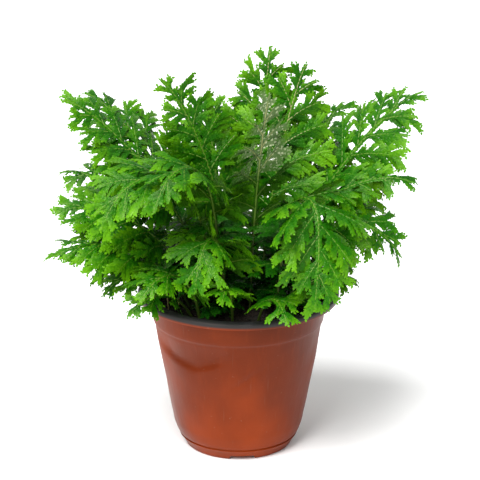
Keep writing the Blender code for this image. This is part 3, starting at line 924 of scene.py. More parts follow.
@dataclass
class Skeleton:
    """The ribs of one leafy stem as lines, with what grows on them stored at each point."""

    points: list[Vector] = field(default_factory=list)
    faces: list[Vector] = field(default_factory=list)
    edges: list[tuple[int, int]] = field(default_factory=list)
    thick: list[float] = field(default_factory=list)
    leaf: list[float] = field(default_factory=list)
    cover: list[float] = field(default_factory=list)
    spread: list[float] = field(default_factory=list)
    age: list[float] = field(default_factory=list)
    stout: list[float] = field(default_factory=list)
    blade: list[float] = field(default_factory=list)
    stout_from: float = 0.3 * MM
    blade_half: float = 1.4 * MM
    blade_taper: float = 0.35
    open_spread: float = 45.0
    closed_spread: float = 26.0

    def add(self, rib: Sequence[Place], growth: Growth, age: Pair) -> None:
        """Add one line.

        Args:
            rib: Its places.
            growth: How thick and leafy it is.
            age: How fresh it is at both ends, from 0 to 1.
        """
        first = len(self.points)
        count = len(rib)
        ends_of = (growth.thick, growth.leaf, growth.cover, age)
        rows = list(zip((self.thick, self.leaf, self.cover, self.age), ends_of))
        is_leafy = min(growth.cover) >= 1.0
        for k, place in enumerate(rib):
            share = k / (count - 1)
            self.points.append(place.point)
            self.faces.append(place.face)
            for values, ends in rows:
                values.append(mixed(ends, share))
            spread = self.open_spread - self.closed_spread * growth.closing * share**2
            self.spread.append(math.radians(spread))
            self.stout.append(1.0 if growth.thick[0] > self.stout_from else 0.0)
            tapered = 1.0 - self.blade_taper * growth.closing * share**4
            self.blade.append(self.blade_half * self.leaf[-1] * tapered if is_leafy else 0.0)
        self.edges += [(first + k, first + k + 1) for k in range(count - 1)]

    def carrier(self, name: str) -> bpy.types.Object:
        """An object of the lines, with the numbers as attributes of its points."""
        mesh = mesh_of(name, self.points, [], self.edges)
        for attribute in ("thick", "leaf", "cover", "spread", "age", "stout", "blade"):
            store(mesh, attribute, getattr(self, attribute))
        made = mesh.attributes.new("face", "FLOAT_VECTOR", "POINT")
        made.data.foreach_set("vector", [part for face in self.faces for part in face])
        return linked(name, mesh)


@dataclass
class ShootGrower:
    """Grows the branchlets of one leafy stem on the arch and side branches of its solid.

    Shares are of a rib's length, angles in degrees, and pairs the ends of a draw or of a rib.
    """

    stem: LeafyStem
    seed: int
    vigour: float
    reach: float
    step: float = 4.5 * MM
    neighbour_share: float = 0.64
    main_share: float = 0.85
    main_stride: int = 3
    shortest: float = 1.6 * MM
    droop: float = 0.4
    angle_jitter: float = 5.0
    face_jitter: float = 22.0
    lift: Pair = (-0.26, 0.10)
    fork_from: float = 4.6 * MM
    fork_at: Pair = (0.34, 0.5)
    fork_angle: Pair = (24.0, 34.0)
    fork_inward: float = 0.7
    fork_length: Pair = (0.44, 0.56)
    branch_vigour: Pair = (0.88, 1.08)
    branch_roll: float = 20.0
    branch_age: Pair = (0.35, 0.85)
    end_margin: float = 1.5 * MM
    first_step: float = 0.3
    right_lag: float = 0.5
    last_share: float = 0.93
    taper: float = 0.45
    reach_jitter: Pair = (0.9, 1.06)
    branchlet_angle: Pair = (47.0, 33.0)
    branchlet_age: Pair = (0.32, 0.66)
    branchlet_freshening: float = 0.42
    age_jitter: float = 0.12
    shoot_spacing: float = 5.2 * MM
    shoot_turn: Pair = (110.0, 160.0)
    shoot_forward: float = 0.55
    shoot_length: Pair = (11.0, 19.0)
    shoot_lean: float = 0.2
    shoot_sag: float = 0.55
    # The basal shoots' share of the usual freshness: darker leaves, partly older growth and partly painted
    # shade inside the plant
    shoot_age_and_shade: float = 0.45
    shoot_clearance: float = 3.0 * MM
    lowest_shoot: float = 5.0 * MM
    wall: float = 40.0 * MM
    over_rim: float = 15.0 * MM
    root_clearance: float = 2.0 * MM
    root_aside: float = 0.5
    root_sag: float = 0.8
    root_steps: int = 10
    foot_depth: float = 5.0 * MM
    bare_steps: int = 12
    leafy_steps: int = 24
    bare_age: Pair = (0.22, 0.3)
    leafy_age: Pair = (0.4, 0.7)

    def room(self, point: Vector, neighbours: Sequence[Rib], main: Rib | None) -> float:
        """How far a branchlet may reach from a point before it covers a neighbouring branch."""
        room = self.reach
        for rib in neighbours:
            room = min(room, self.neighbour_share * min((point - place.point).length for place in rib))
        if main:
            room = min(room, self.main_share * min((point - place.point).length for place in main))
        return room

    def branchlet(
        self,
        skeleton: Skeleton,
        draw: random.Random,
        start: Place,
        side: Side,
        reach: float,
        degrees: float,
        fresh: Pair,
    ) -> None:
        """Add one branchlet, which turns forwards, droops at its end and forks where it is long enough.

        Args:
            skeleton: What it is added to.
            draw: Seeded draws.
            start: Where it leaves its branch.
            side: The side that it leaves to.
            reach: How far it reaches, square to the branch.
            degrees: Its angle to the branch.
            fresh: How fresh it is at its base and its tip.
        """
        angle = math.radians(degrees + draw.uniform(-self.angle_jitter, self.angle_jitter))
        face = squared(start.along, start.face, draw.uniform(-self.face_jitter, self.face_jitter))
        across = start.across * side.value
        lift = start.face * draw.uniform(*self.lift)
        direction = (start.along * math.cos(angle) + across * math.sin(angle) + lift).normalized()
        length = max(self.shortest, reach / math.sin(angle))
        is_short = length < self.fork_from
        steps = 2 if is_short else 4
        rib = grown_rib(Place(start.point, start.along, face), direction, length, self.droop, steps)
        skeleton.add(rib, BRANCHLET, fresh)
        if is_short:
            return
        place = at_share(rib, draw.uniform(*self.fork_at))
        turn = math.radians(draw.uniform(*self.fork_angle))
        turn *= (1.0 if draw.random() < self.fork_inward else -1.0) * side.value
        direction = place.along * math.cos(turn) - place.across * math.sin(turn)
        fork_length = length * draw.uniform(*self.fork_length)
        skeleton.add(grown_rib(place, direction.normalized(), fork_length, self.droop, 2), FORK, fresh)

    def grow_branch(
        self,
        skeleton: Skeleton,
        draw: random.Random,
        rib: Rib,
        length: float,
        beside: dict[Side, tuple[Sequence[Rib], Rib | None]],
        freshness_and_shade: float = 1.0,
    ) -> None:
        """Add a side branch, or the frond's end, with its branchlets.

        Args:
            skeleton: What it is added to.
            draw: Seeded draws.
            rib: The branch's rib.
            length: The rib's length.
            beside: What stands next to it on each side.
            freshness_and_shade: How fresh its leaves are beside the rest; below 1 for the basal shoots, whose
                darker leaves are partly painted shade inside the plant.
        """
        vigour = self.vigour * freshness_and_shade * draw.uniform(*self.branch_vigour)
        roll = draw.uniform(-self.branch_roll, self.branch_roll)
        rib = [Place(place.point, place.along, squared(place.along, place.face, roll)) for place in rib]
        skeleton.add(rib, SIDE_BRANCH, tuple(vigour * age for age in self.branch_age))
        count = max(1, int((length - self.end_margin) / self.step))
        for side in Side:
            lag = 0.0 if side is Side.LEFT else self.right_lag
            neighbours, main = beside[side]
            for k in range(count):
                share = (k + self.first_step + lag) * self.step / length
                if share > self.last_share:
                    continue
                start = at_share(rib, share)
                room = self.room(start.point, neighbours, main)
                reach = min(room, self.reach * (1.0 - self.taper * share**2))
                reach *= draw.uniform(*self.reach_jitter)
                if reach < self.shortest:
                    continue
                base = vigour * mixed(self.branchlet_age, share)
                base += draw.uniform(-self.age_jitter, self.age_jitter)
                fresh = (base, base + self.branchlet_freshening * vigour)
                self.branchlet(skeleton, draw, start, side, reach, mixed(self.branchlet_angle, share), fresh)

    def outside(self, point: Vector) -> bool:
        """Whether a shoot's point would lie in the potting mix or in the pot's wall."""
        in_mix = point.z < MIX_HEIGHT + self.shoot_clearance
        return in_mix or (point.z < MIX_HEIGHT + self.over_rim and math.hypot(point.x, point.y) > self.wall)

    def basal_shoots(self, skeleton: Skeleton, draw: random.Random, spine: Rib) -> None:
        """Add the short leafy shoots on the stem's lower part, which fill the middle of the plant. Their
        leaves are made older and darker, partly as painted shade in the plant's middle.
        """
        count = int(self.stem.bare * self.stem.length * MM / self.shoot_spacing)
        turn = draw.uniform(0.0, 360.0)
        open_sides = {side: ([], None) for side in Side}
        for k in range(1, count):
            start = at_share(spine, self.stem.bare * k / count)
            turn += draw.uniform(*self.shoot_turn)
            if start.point.z < MIX_HEIGHT + self.lowest_shoot:
                continue
            away = squared(start.along, start.face, turn)
            direction = (start.along * self.shoot_forward + away).normalized()
            length = draw.uniform(*self.shoot_length) * MM
            up = squared(direction, UP + start.along * self.shoot_lean)
            rib = grown_rib(Place(start.point, direction, up), direction, length, self.shoot_sag)
            if any(self.outside(place.point) for place in rib):
                continue
            # Older, darker leaves: partly painted shade in the middle of the plant
            self.grow_branch(skeleton, draw, rib, length, open_sides, self.shoot_age_and_shade)

    def aerial_root(self, skeleton: Skeleton, spine: Rib) -> None:
        """Add the thin root that hangs from the stem to just over the potting mix."""
        start = at_share(spine, self.stem.aerial_root)
        length = start.point.z - MIX_HEIGHT - self.root_clearance
        direction = (start.across * self.root_aside - UP).normalized()
        rib = grown_rib(start, direction, length, self.root_sag, self.root_steps)
        skeleton.add(rib, AERIAL_ROOT, (0.0, 0.0))

    def main_rib(self, skeleton: Skeleton, spine: Rib) -> None:
        """Add the stem's bare and leafy part."""
        start, *_, end = self.stem.leafy_shares()
        foot = Place(spine[0].point - spine[0].along * self.foot_depth, spine[0].along, spine[0].face)
        bare = [foot] + [at_share(spine, start * k / self.bare_steps) for k in range(self.bare_steps + 1)]
        steps = self.leafy_steps
        leafy = [at_share(spine, start + (end - start) * k / steps) for k in range(steps + 1)]
        skeleton.add(bare, BARE_STEM, (self.bare_age[0], self.bare_age[1] * self.vigour))
        skeleton.add(leafy, LEAFY_PART, tuple(age * self.vigour for age in self.leafy_age))

    def grow(self) -> Skeleton:
        """The whole stem's skeleton."""
        draw = random.Random(self.seed)
        spine = self.stem.spine()
        skeleton = Skeleton()
        self.main_rib(skeleton, spine)
        side_ribs = self.stem.side_ribs(spine)
        end_rib = self.stem.end_rib(spine)
        ribs = [rib for _, rib in side_ribs]
        for k, (side, rib) in enumerate(side_ribs):
            behind = [ribs[k - 2]] if k > 1 else []
            ahead = [ribs[k + 2]] if k + 2 < len(ribs) else [end_rib]
            forward = Side.RIGHT if side is Side.LEFT else Side.LEFT
            beside = {forward: (ahead, spine[:: self.main_stride]), side: (behind, None)}
            self.grow_branch(skeleton, draw, rib, self.stem.branch_length(k), beside)
        last = dict(side_ribs)
        beside = {side: ([last[side]], None) for side in Side}
        end_length = (end_rib[-1].point - end_rib[0].point).length
        self.grow_branch(skeleton, draw, end_rib, end_length, beside)
        self.basal_shoots(skeleton, draw, spine)
        if self.stem.aerial_root:
            self.aerial_root(skeleton, spine)
        return skeleton


@dataclass(frozen=True)
class ScaleLeaf:
    """One closed scale leaf of length 1, which lies along +Y with its upper side to +Z."""

    name: str
    half_width: float
    thickness: float
    curl: float
    widest: float

    def build(self) -> bpy.types.Object:
        """The leaf's object, whose lower faces carry the attribute under."""
        outline = ((0.0, 0.0), (self.half_width, self.widest), (0.0, 1.0), (-self.half_width, self.widest))
        ring = [Vector((x, y, -self.curl * y * y)) for x, y in outline]
        count = len(ring)
        middle = sum(point.y for point in ring) / count
        points = [*ring, Vector((0.0, middle, self.thickness)), Vector((0.0, middle, -self.thickness))]
        over = [(k, (k + 1) % count, count) for k in range(count)]
        below = [((k + 1) % count, k, count + 1) for k in range(count)]
        mesh = mesh_of(self.name, points, over + below)
        mesh.shade_flat()
        store(mesh, "under", [0.0] * count + [1.0] * count, "FACE")
        return linked(self.name, mesh)


SIDE_LEAF = ScaleLeaf("side_leaf", half_width=0.33, thickness=0.035, curl=0.08, widest=0.5)
UPPER_LEAF = ScaleLeaf("upper_leaf", half_width=0.28, thickness=0.04, curl=0.05, widest=0.4)


@dataclass(frozen=True)
class LeafRow:
    """One row of scale leaves along every rib.

    Every so many places from the first one carry a leaf. The spread is a share of the rib's own, the tilt
    lifts the leaf's tip, and over is the share of the rib's radius that it stands on. Lift and offset move it
    up and aside.
    """

    number: int
    side: Side
    large: bool
    every: int
    first: int
    spread: float
    tilt: float
    over: float
    lift: float
    offset: float


LEFT_SIDE_ROW = LeafRow(
    number=1,
    side=Side.LEFT,
    large=True,
    every=2,
    first=0,
    spread=1.0,
    tilt=-0.06,
    over=0.4,
    lift=0.02 * MM,
    offset=0.0,
)
LEFT_UPPER_ROW = LeafRow(
    number=3,
    side=Side.LEFT,
    large=False,
    every=4,
    first=1,
    spread=0.42,
    tilt=0.02,
    over=1.0,
    lift=0.08 * MM,
    offset=0.12 * MM,
)
LEAF_ROWS = (
    LEFT_SIDE_ROW,
    replace(LEFT_SIDE_ROW, number=2, side=Side.RIGHT, first=1),
    LEFT_UPPER_ROW,
    replace(LEFT_UPPER_ROW, number=4, side=Side.RIGHT, first=3),
)


class FoliageTree(GeometryTree):
    """The Geometry Nodes tree that covers a skeleton's lines with tubes and two kinds of scale leaves."""

    kinds = {
        "Leaf Pitch": "Float",
        "Side Leaf Length": "Float",
        "Upper Leaf Length": "Float",
        "Seed": "Int",
        "Leaf Material": "Material",
        "Stem Material": "Material",
    }
    is_set = 0.5
    thinnest_blade = 0.1 * MM
    tube_sides = 6
    ribbon_sides = 4
    ribbon_flatness = 0.09
    wobble = (-0.16, 0.16)
    sizes = (0.86, 1.12)
    whole = (0.0, 1.0)
    cover_seed = 50.0
    size_seed = 90.0
    tint_seed = 130.0

    def __init__(self, side_leaf: bpy.types.Object, upper_leaf: bpy.types.Object) -> None:
        """Build the tree.

        Args:
            side_leaf: The larger leaf, set along both sides of each line.
            upper_leaf: The smaller leaf, set in two rows on its upper side.
        """
        super().__init__("scale_leaves_on_ribs", self.kinds)
        lines = self.given["Geometry"]
        curves = self.node("GeometryNodeMeshToCurve", Mesh=lines).outputs[0]
        spaced = {"Curve": curves, "Length": self.given["Leaf Pitch"]}
        places = self.node("GeometryNodeResampleCurve", {"mode": "LENGTH"}, **spaced).outputs[0]
        parts = [self.tubes(lines), self.ribbons(lines)]
        for row in LEAF_ROWS:
            leaf, label = (side_leaf, "Side Leaf Length") if row.large else (upper_leaf, "Upper Leaf Length")
            parts.append(self.leaves(places, leaf, self.given[label], row))
        leafy = self.painted(self.realized(parts), self.given["Leaf Material"])
        woody = self.compare("GREATER_THAN", self.named("woody"), self.is_set)
        self.finish(self.painted(leafy, self.given["Stem Material"], Selection=woody))

    def chosen(self, lines: object, name: str, limit: float) -> Socket:
        """The lines whose attribute is over a limit, as curves."""
        selection = self.compare("GREATER_THAN", self.named(name), limit)
        return self.node("GeometryNodeMeshToCurve", Mesh=lines, Selection=selection).outputs[0]

    def swept(self, curves: object, profile: object, size: str) -> Socket:
        """Closed tubes of curves, whose profile has the size of an attribute."""
        sweep = {"Curve": curves, "Profile_Curve": profile, "Fill_Caps": True, "Scale": self.named(size)}
        return self.node("GeometryNodeCurveToMesh", **sweep).outputs[0]

    def circle(self, sides: int) -> Socket:
        """A circle of radius 1 with so many sides."""
        return self.node("GeometryNodeCurvePrimitiveCircle", Resolution=sides, Radius=1.0).outputs[0]

    def tubes(self, lines: object) -> Socket:
        """Make closed round tubes of the stout lines, marked as woody."""
        curves = self.chosen(lines, "stout", self.is_set)
        return self.stored(self.swept(curves, self.circle(self.tube_sides), "thick"), "FACE", "woody", 1.0)

    def ribbons(self, lines: object) -> Socket:
        """Lay a flat closed ribbon along every leafy line, where the bases of its leaves overlap."""
        curves = self.chosen(lines, "blade", self.thinnest_blade)
        face = self.named("face", "FLOAT_VECTOR")
        free = {"mode": "FREE"}
        facing = self.node("GeometryNodeSetCurveNormal", free, Curve=curves, Normal=face).outputs[0]
        flatness = (self.ribbon_flatness, 1.0, 1.0)
        circle = self.circle(self.ribbon_sides)
        flat = self.node("GeometryNodeTransform", Geometry=circle, Scale=flatness).outputs[0]
        ribbon = self.swept(facing, flat, "blade")
        faceted = self.node("GeometryNodeSetShadeSmooth", Geometry=ribbon, Shade_Smooth=False).outputs[0]
        normal = self.node("GeometryNodeInputNormal").outputs[0]
        dot = {"operation": "DOT_PRODUCT"}
        upward = self.node("ShaderNodeVectorMath", dot, i0=normal, i1=face).outputs["Value"]
        return self.stored(faceted, "FACE", "under", self.math("LESS_THAN", upward, 0.0))

    def leaves(self, curve: object, leaf: bpy.types.Object, length: object, row: LeafRow) -> Socket:
        """Set one row of leaves on the resampled curves.

        Args:
            curve: The curves.
            leaf: The leaf to set.
            length: The leaf's length.
            row: Where the row runs.

        Returns:
            The leaves, as instances.
        """
        side = float(row.side.value)
        seed = self.math("ADD", self.given["Seed"], float(row.number))
        tangent = self.node("GeometryNodeInputTangent").outputs[0]
        face = self.named("face", "FLOAT_VECTOR")
        across = self.vector("CROSS_PRODUCT", face, tangent)
        angle = self.math("MULTIPLY", self.named("spread"), row.spread)
        angle = self.math("ADD", angle, self.random(self.wobble, seed))
        outward = self.scaled(across, self.math("MULTIPLY", self.math("SINE", angle), side))
        forward = self.scaled(tangent, self.math("COSINE", angle))
        direction = self.vector("ADD", self.vector("ADD", outward, forward), self.scaled(face, row.tilt))
        axes = {"primary_axis": "Y", "secondary_axis": "Z"}
        turn = self.node("FunctionNodeAxesToRotation", axes, i0=direction, i1=face).outputs[0]
        index = self.node("GeometryNodeInputIndex").outputs[0]
        place = self.math("SUBTRACT", self.math("MODULO", index, float(row.every)), float(row.first))
        in_turn = self.compare("LESS_THAN", self.math("ABSOLUTE", place), self.is_set)
        chance = self.random(self.whole, self.math("ADD", seed, self.cover_seed))
        kept = self.compare("LESS_THAN", chance, self.named("cover"))
        chosen = self.node("FunctionNodeBooleanMath", {"operation": "AND"}, i0=in_turn, i1=kept).outputs[0]
        size = self.math("MULTIPLY", self.named("leaf"), length)
        size = self.math("MULTIPLY", size, self.random(self.sizes, self.math("ADD", seed, self.size_seed)))
        height = self.math("ADD", self.math("MULTIPLY", self.named("thick"), row.over), row.lift)
        shift = self.vector("ADD", self.scaled(face, height), self.scaled(across, row.offset * side))
        raised = self.node("GeometryNodeSetPosition", Geometry=curve, Offset=shift).outputs[0]
        placed = self.set_on(raised, leaf, turn, size, Selection=chosen)
        tint = self.random(self.whole, self.math("ADD", seed, self.tint_seed))
        return self.stored(placed, "INSTANCE", "tint", tint)


@dataclass
class Foliage:
    """All the leafy stems, each grown on the arch of its own solid."""

    leaf_pitch: float = 0.95 * MM
    side_leaf_length: float = 2.6 * MM
    upper_leaf_length: float = 2.0 * MM
    reach: float = 8.2 * MM
    young_reach: float = 0.7
    vigour: Pair = (0.86, 1.06)
    finder: StemFinder = field(default_factory=StemFinder)

    def stem_of(self, node: bpy.types.Object) -> LeafyStem:
        """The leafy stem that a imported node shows."""
        kind, number = node.name.rsplit("_", 1)
        if kind == "leafy_stem":
            nominals = [(int(number), LEAFY_STEMS[int(number) - 1])]
        else:
            nominals = [(YOUNG_NUDGE_SEED + index, young_stem(index)) for index in range(YOUNG_STEMS)]
        return self.finder.match(node, nominals)

    def build(self, nodes: dict[str, bpy.types.Object]) -> int:
        """Grow every leafy stem.

        Args:
            nodes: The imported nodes, by name.

        Returns:
            How many triangles were added.
        """
        leaves = (SIDE_LEAF.build(), UPPER_LEAF.build())
        tree = FoliageTree(*leaves)
        values = {
            "Leaf Pitch": self.leaf_pitch,
            "Side Leaf Length": self.side_leaf_length,
            "Upper Leaf Length": self.upper_leaf_length,
            "Leaf Material": LeafFinish().material(),
            "Stem Material": StemFinish().material(),
        }
        total = 0
        for number, name in enumerate(sorted(name for name in nodes if "_stem_" in name), 1):
            vigour = random.Random(number).uniform(*self.vigour)
            reach = self.reach * (self.young_reach if name.startswith("young") else 1.0)
            grower = ShootGrower(self.stem_of(nodes[name]), number, vigour, reach)
            mesh = tree.apply(grower.grow().carrier(f"{name}_ribs"), {**values, "Seed": number})
            total += add_piece(f"{name}_foliage", mesh, Slot.FOLIAGE, name)
        for leaf in leaves:
            bpy.data.objects.remove(leaf)
        return total


# The pot and what fills it


@dataclass(frozen=True)
class Hollow:
    """A hollow along a straight line in the pot's wall, beside the dent. Lengths in mm, angles in degrees."""

    depth: float
    middle: float
    half_length: float
    half_width: float
    up: float = 0.0
    slope: float = 0.0

    def at(self, across: float, up: float) -> float:
        """How deep it is at a place beside the dent."""
        off_line = (up - self.up - self.slope * across) / self.half_width
        along = (across - self.middle) / self.half_length
        return self.depth * math.exp(-(off_line**2) - along**2)


@dataclass(frozen=True)
class Fold:
    """The wall pressed in over a bent fold under the stacking step. Lengths in mm, angles in degrees."""

    line: tuple[Pair, ...] = ((196.0, 63.0), (216.0, 59.0), (237.0, 55.5), (252.0, 60.0), (264.0, 66.5))
    depth: float = 1.9
    below: float = 3.0
    top: float = 69.5
    fade_in: float = 16.0
    fade_out: float = 7.0

    def at(self, azimuth: float, up: float) -> float:
        """How far the wall is pressed in at an azimuth and a height."""
        first, last = self.line[0][0], self.line[-1][0]
        if not first < azimuth < last or up >= self.top:
            return 0.0
        for (low, low_height), (high, high_height) in zip(self.line, self.line[1:]):
            if low <= azimuth <= high:
                line = low_height + (high_height - low_height) * (azimuth - low) / (high - low)
        ends = min(1.0, (azimuth - first) / self.fade_in, (last - azimuth) / self.fade_out)
        share = (self.top - up) / (self.top - line) if up > line else 1.0 - (line - up) / self.below
        return self.depth * ends * max(0.0, share)


@dataclass
class NurseryPot:
    """The thin formed pot, with its stacking step, dents, creases, rolled rim, foot notches and drain holes.

    The turned profile and the heights beside it are in mm, and angles in degrees.
    """

    segments: int = 180
    outside: tuple[Pair, ...] = (
        *((26.7, 1.5), (26.8, 0.5), (27.2, 0.0), (28.6, 0.0), (29.1, 0.3), (29.6, 1.2), (30.2, 2.4)),
        *((31.4, 4.6), (32.2, 5.6), (31.6, 6.1), (32.2, 6.7), (32.9, 7.6), (33.7, 9.4), (34.5, 11.8)),
        *((35.1, 13.8), (35.6, 16.4), (36.5, 21.0), (37.4, 26.0), (38.3, 31.0), (39.2, 36.0), (40.1, 41.0)),
        *((41.0, 46.0), (41.9, 51.0), (42.6, 55.0), (43.1, 58.0), (43.6, 61.0), (44.1, 64.0), (44.6, 67.0)),
        *((45.0, 69.4), (45.2, 70.5), (45.7, 71.0), (46.0, 71.7), (46.2, 73.0), (46.6, 76.5), (47.0, 80.0)),
        *((47.4, 83.0), (47.8, 84.9), (48.5, 85.9), (49.6, 86.2), (51.4, 86.2), (52.7, 86.0), (53.1, 85.4)),
        *((53.15, 84.0), (53.3, 83.4), (53.7, 83.3), (53.95, 83.7), (54.0, 84.8), (54.0, 86.0), (53.8, 86.6)),
        *((53.3, 87.0), (52.0, 87.05), (50.4, 87.0), (49.2, 86.8), (48.2, 86.2), (47.3, 85.0), (46.6, 83.0)),
    )
    inside: tuple[Pair, ...] = (
        *((46.2, 80.0), (45.6, 75.0), (45.2, 71.8), (44.3, 70.2), (43.8, 67.0), (43.2, 64.0), (42.7, 61.0)),
        *((42.2, 58.0), (41.7, 55.0), (40.9, 51.0), (40.0, 46.0), (39.4, 43.0), (37.0, 29.0), (34.7, 16.4)),
        *((33.7, 12.0), (31.6, 7.6), (29.2, 3.0), (28.6, 2.6)),
    )
    base_under: float = 1.5
    base_over: float = 2.6
    first_black: int = 46
    longest_step: float = 1.6
    fold: Fold = Fold()
    hollows: tuple[Hollow, ...] = (
        Hollow(0.7, middle=0.0, half_length=23.0, half_width=9.0),
        Hollow(0.9, middle=-4.0, half_length=12.0, half_width=1.6, up=-1.6, slope=0.30),
        Hollow(0.8, middle=16.0, half_length=10.0, half_width=2.0, up=-20.0, slope=0.5),
    )
    dent_azimuth: float = 259.0
    dent_height: float = 62.0
    wave_depth: float = 0.55
    wave_round: float = 1.7
    wave_up: float = 34.0
    wave_offset: float = 3.1
    dimple_depth: float = 0.16
    dimple_round: float = 5.0
    dimple_up: float = 90.0
    dimple_offset: float = 7.7
    waves_from: float = 14.0
    step_height: float = 70.0
    waves_over_step: float = 0.35
    wall_from_radius: float = 30.0
    wall_heights: Pair = (3.0, 85.5)
    rim_wave: float = 0.35
    rim_wave_phase: float = 40.0
    rim_from: float = 80.0
    rim_fade: float = 4.0
    lip_from: float = 86.5
    lip_drop: float = 0.35
    notch_azimuth: float = 274.0
    notch_count: int = 4
    notch_half: float = 15.0
    notch_slope: float = 4.0
    notch_height: float = 2.3
    drain_circle: float = 18.0
    drain_radius: float = 3.5
    drain_sides: int = 24
    drain_heights: Pair = (-2.0, 6.0)
    sharp_from: float = 50.0

    def rings(self) -> list[tuple[float, float, float]]:
        """The turned profile in short steps: each ring's radius, height and whether it is black."""
        profile = (*self.outside, *self.inside)
        found = []
        for index, (start, end) in enumerate(zip(profile, profile[1:])):
            count = max(1, math.ceil(math.dist(start, end) / self.longest_step))
            black = 1.0 if index >= self.first_black else 0.0
            for k in range(count):
                radius, height = (mixed(ends, k / count) for ends in zip(start, end))
                found.append((radius, height, black))
        return [*found, (*profile[-1], 1.0)]

    def wall_shift(self, azimuth: float, height: float) -> float:
        """How far the thin wall is pressed in: the fold, the dent with its creases, waves and dimples."""
        across = (azimuth - self.dent_azimuth + 180.0) % 360.0 - 180.0
        up = height / MM - self.dent_height
        pressed = self.fold.at(azimuth % 360.0, height / MM)
        pressed += sum(hollow.at(across, up) for hollow in self.hollows)
        side = Vector((math.cos(math.radians(azimuth)), math.sin(math.radians(azimuth)), 0.0))
        wave_place = Vector((self.wave_offset, 0.0, height * self.wave_up))
        dimple_place = Vector((0.0, self.dimple_offset, height * self.dimple_up))
        waves = noise.noise(side * self.wave_round + wave_place)
        dimples = noise.noise(side * self.dimple_round + dimple_place)
        fade = min(1.0, height / (self.waves_from * MM))
        fade *= 1.0 if height < self.step_height * MM else self.waves_over_step
        return (pressed + fade * (self.wave_depth * waves + self.dimple_depth * dimples)) * MM

    def rim_shift(self, azimuth: float) -> float:
        """How far the rim is bent up or down at an azimuth."""
        return self.rim_wave * MM * math.sin(math.radians(2.0 * azimuth + self.rim_wave_phase))

    def notch(self, azimuth: float) -> float:
        """How far the foot is cut up at an azimuth, with sloped ends."""
        turns = [azimuth - self.notch_azimuth - 360.0 * k / self.notch_count for k in range(self.notch_count)]
        nearest = min(abs((turn + 180.0) % 360.0 - 180.0) for turn in turns)
        share = held((self.notch_half - nearest) / self.notch_slope)
        return self.notch_height * MM * share * share * (3.0 - 2.0 * share)

    def point(self, azimuth: float, radius: float, height: float) -> Vector:
        """A point of the pot, from its place on the turned profile in mm."""
        r, z = radius * MM, height * MM
        if radius > self.wall_from_radius and self.wall_heights[0] < height < self.wall_heights[1]:
            r -= self.wall_shift(azimuth, z)
        if height < self.notch_height:
            z = max(z, self.notch(azimuth))
        if height > self.rim_from:
            z += self.rim_shift(azimuth) * min(1.0, (height - self.rim_from) / self.rim_fade)
        if height > self.lip_from:
            z -= self.lip_drop * MM
        angle = math.radians(azimuth)
        return Vector((r * math.cos(angle), r * math.sin(angle), z))

    def build(self) -> int:
        """Build the pot and put it in place of its node."""
        profile = self.rings()
        count = self.segments
        angles = [360.0 * k / count for k in range(count)]
        points = [self.point(angle, radius, height) for radius, height, _ in profile for angle in angles]
        black = [is_black for _, _, is_black in profile for _ in range(count)]
        faces = []
        for ring in range(len(profile) - 1):
            faces += band(ring * count, (ring + 1) * count, count)
        under, over = len(points), len(points) + 1
        points += [Vector((0.0, 0.0, self.base_under * MM)), Vector((0.0, 0.0, self.base_over * MM))]
        black += [0.0, 1.0]
        last = (len(profile) - 1) * count
        for k in range(count):
            other = (k + 1) % count
            faces += [(under, other, k), (over, last + k, last + other)]
        mesh = mesh_of("nursery_pot", points, faces)
        store(mesh, "black", black)
        mesh.shade_smooth()
        mesh.materials.append(PotFinish().material())
        return add_piece("nursery_pot", self.drilled(mesh), Slot.POT, "pot")

    def drilled(self, mesh: bpy.types.Mesh) -> bpy.types.Mesh:
        """The pot with its drain holes cut through the base."""
        points, faces = [], []
        sides = self.drain_sides
        for k in range(self.notch_count):
            angle = math.radians(self.notch_azimuth + 360.0 * (k + 0.5) / self.notch_count)
            middle = Vector((math.cos(angle), math.sin(angle), 0.0)) * (self.drain_circle * MM)
            first = len(points)
            for height in self.drain_heights:
                for j in range(sides):
                    turn = 2.0 * math.pi * j / sides
                    arm = Vector((math.cos(turn), math.sin(turn), 0.0)) * (self.drain_radius * MM)
                    points.append(middle + arm + UP * (height * MM))
            faces.append(tuple(first + j for j in reversed(range(sides))))
            faces.append(tuple(first + sides + j for j in range(sides)))
            faces += band(first, first + sides, sides)
        cutter = linked("drain_cutters", mesh_of("drain_cutters", points, faces))
        carrier = linked("drilled_pot", mesh)
        modifier = carrier.modifiers.new("drains", "BOOLEAN")
        modifier.operation = "DIFFERENCE"
        modifier.object = cutter
        drilled = meshed(carrier)
        bpy.data.objects.remove(cutter)
        drilled.set_sharp_from_angle(angle=math.radians(self.sharp_from))
        return drilled


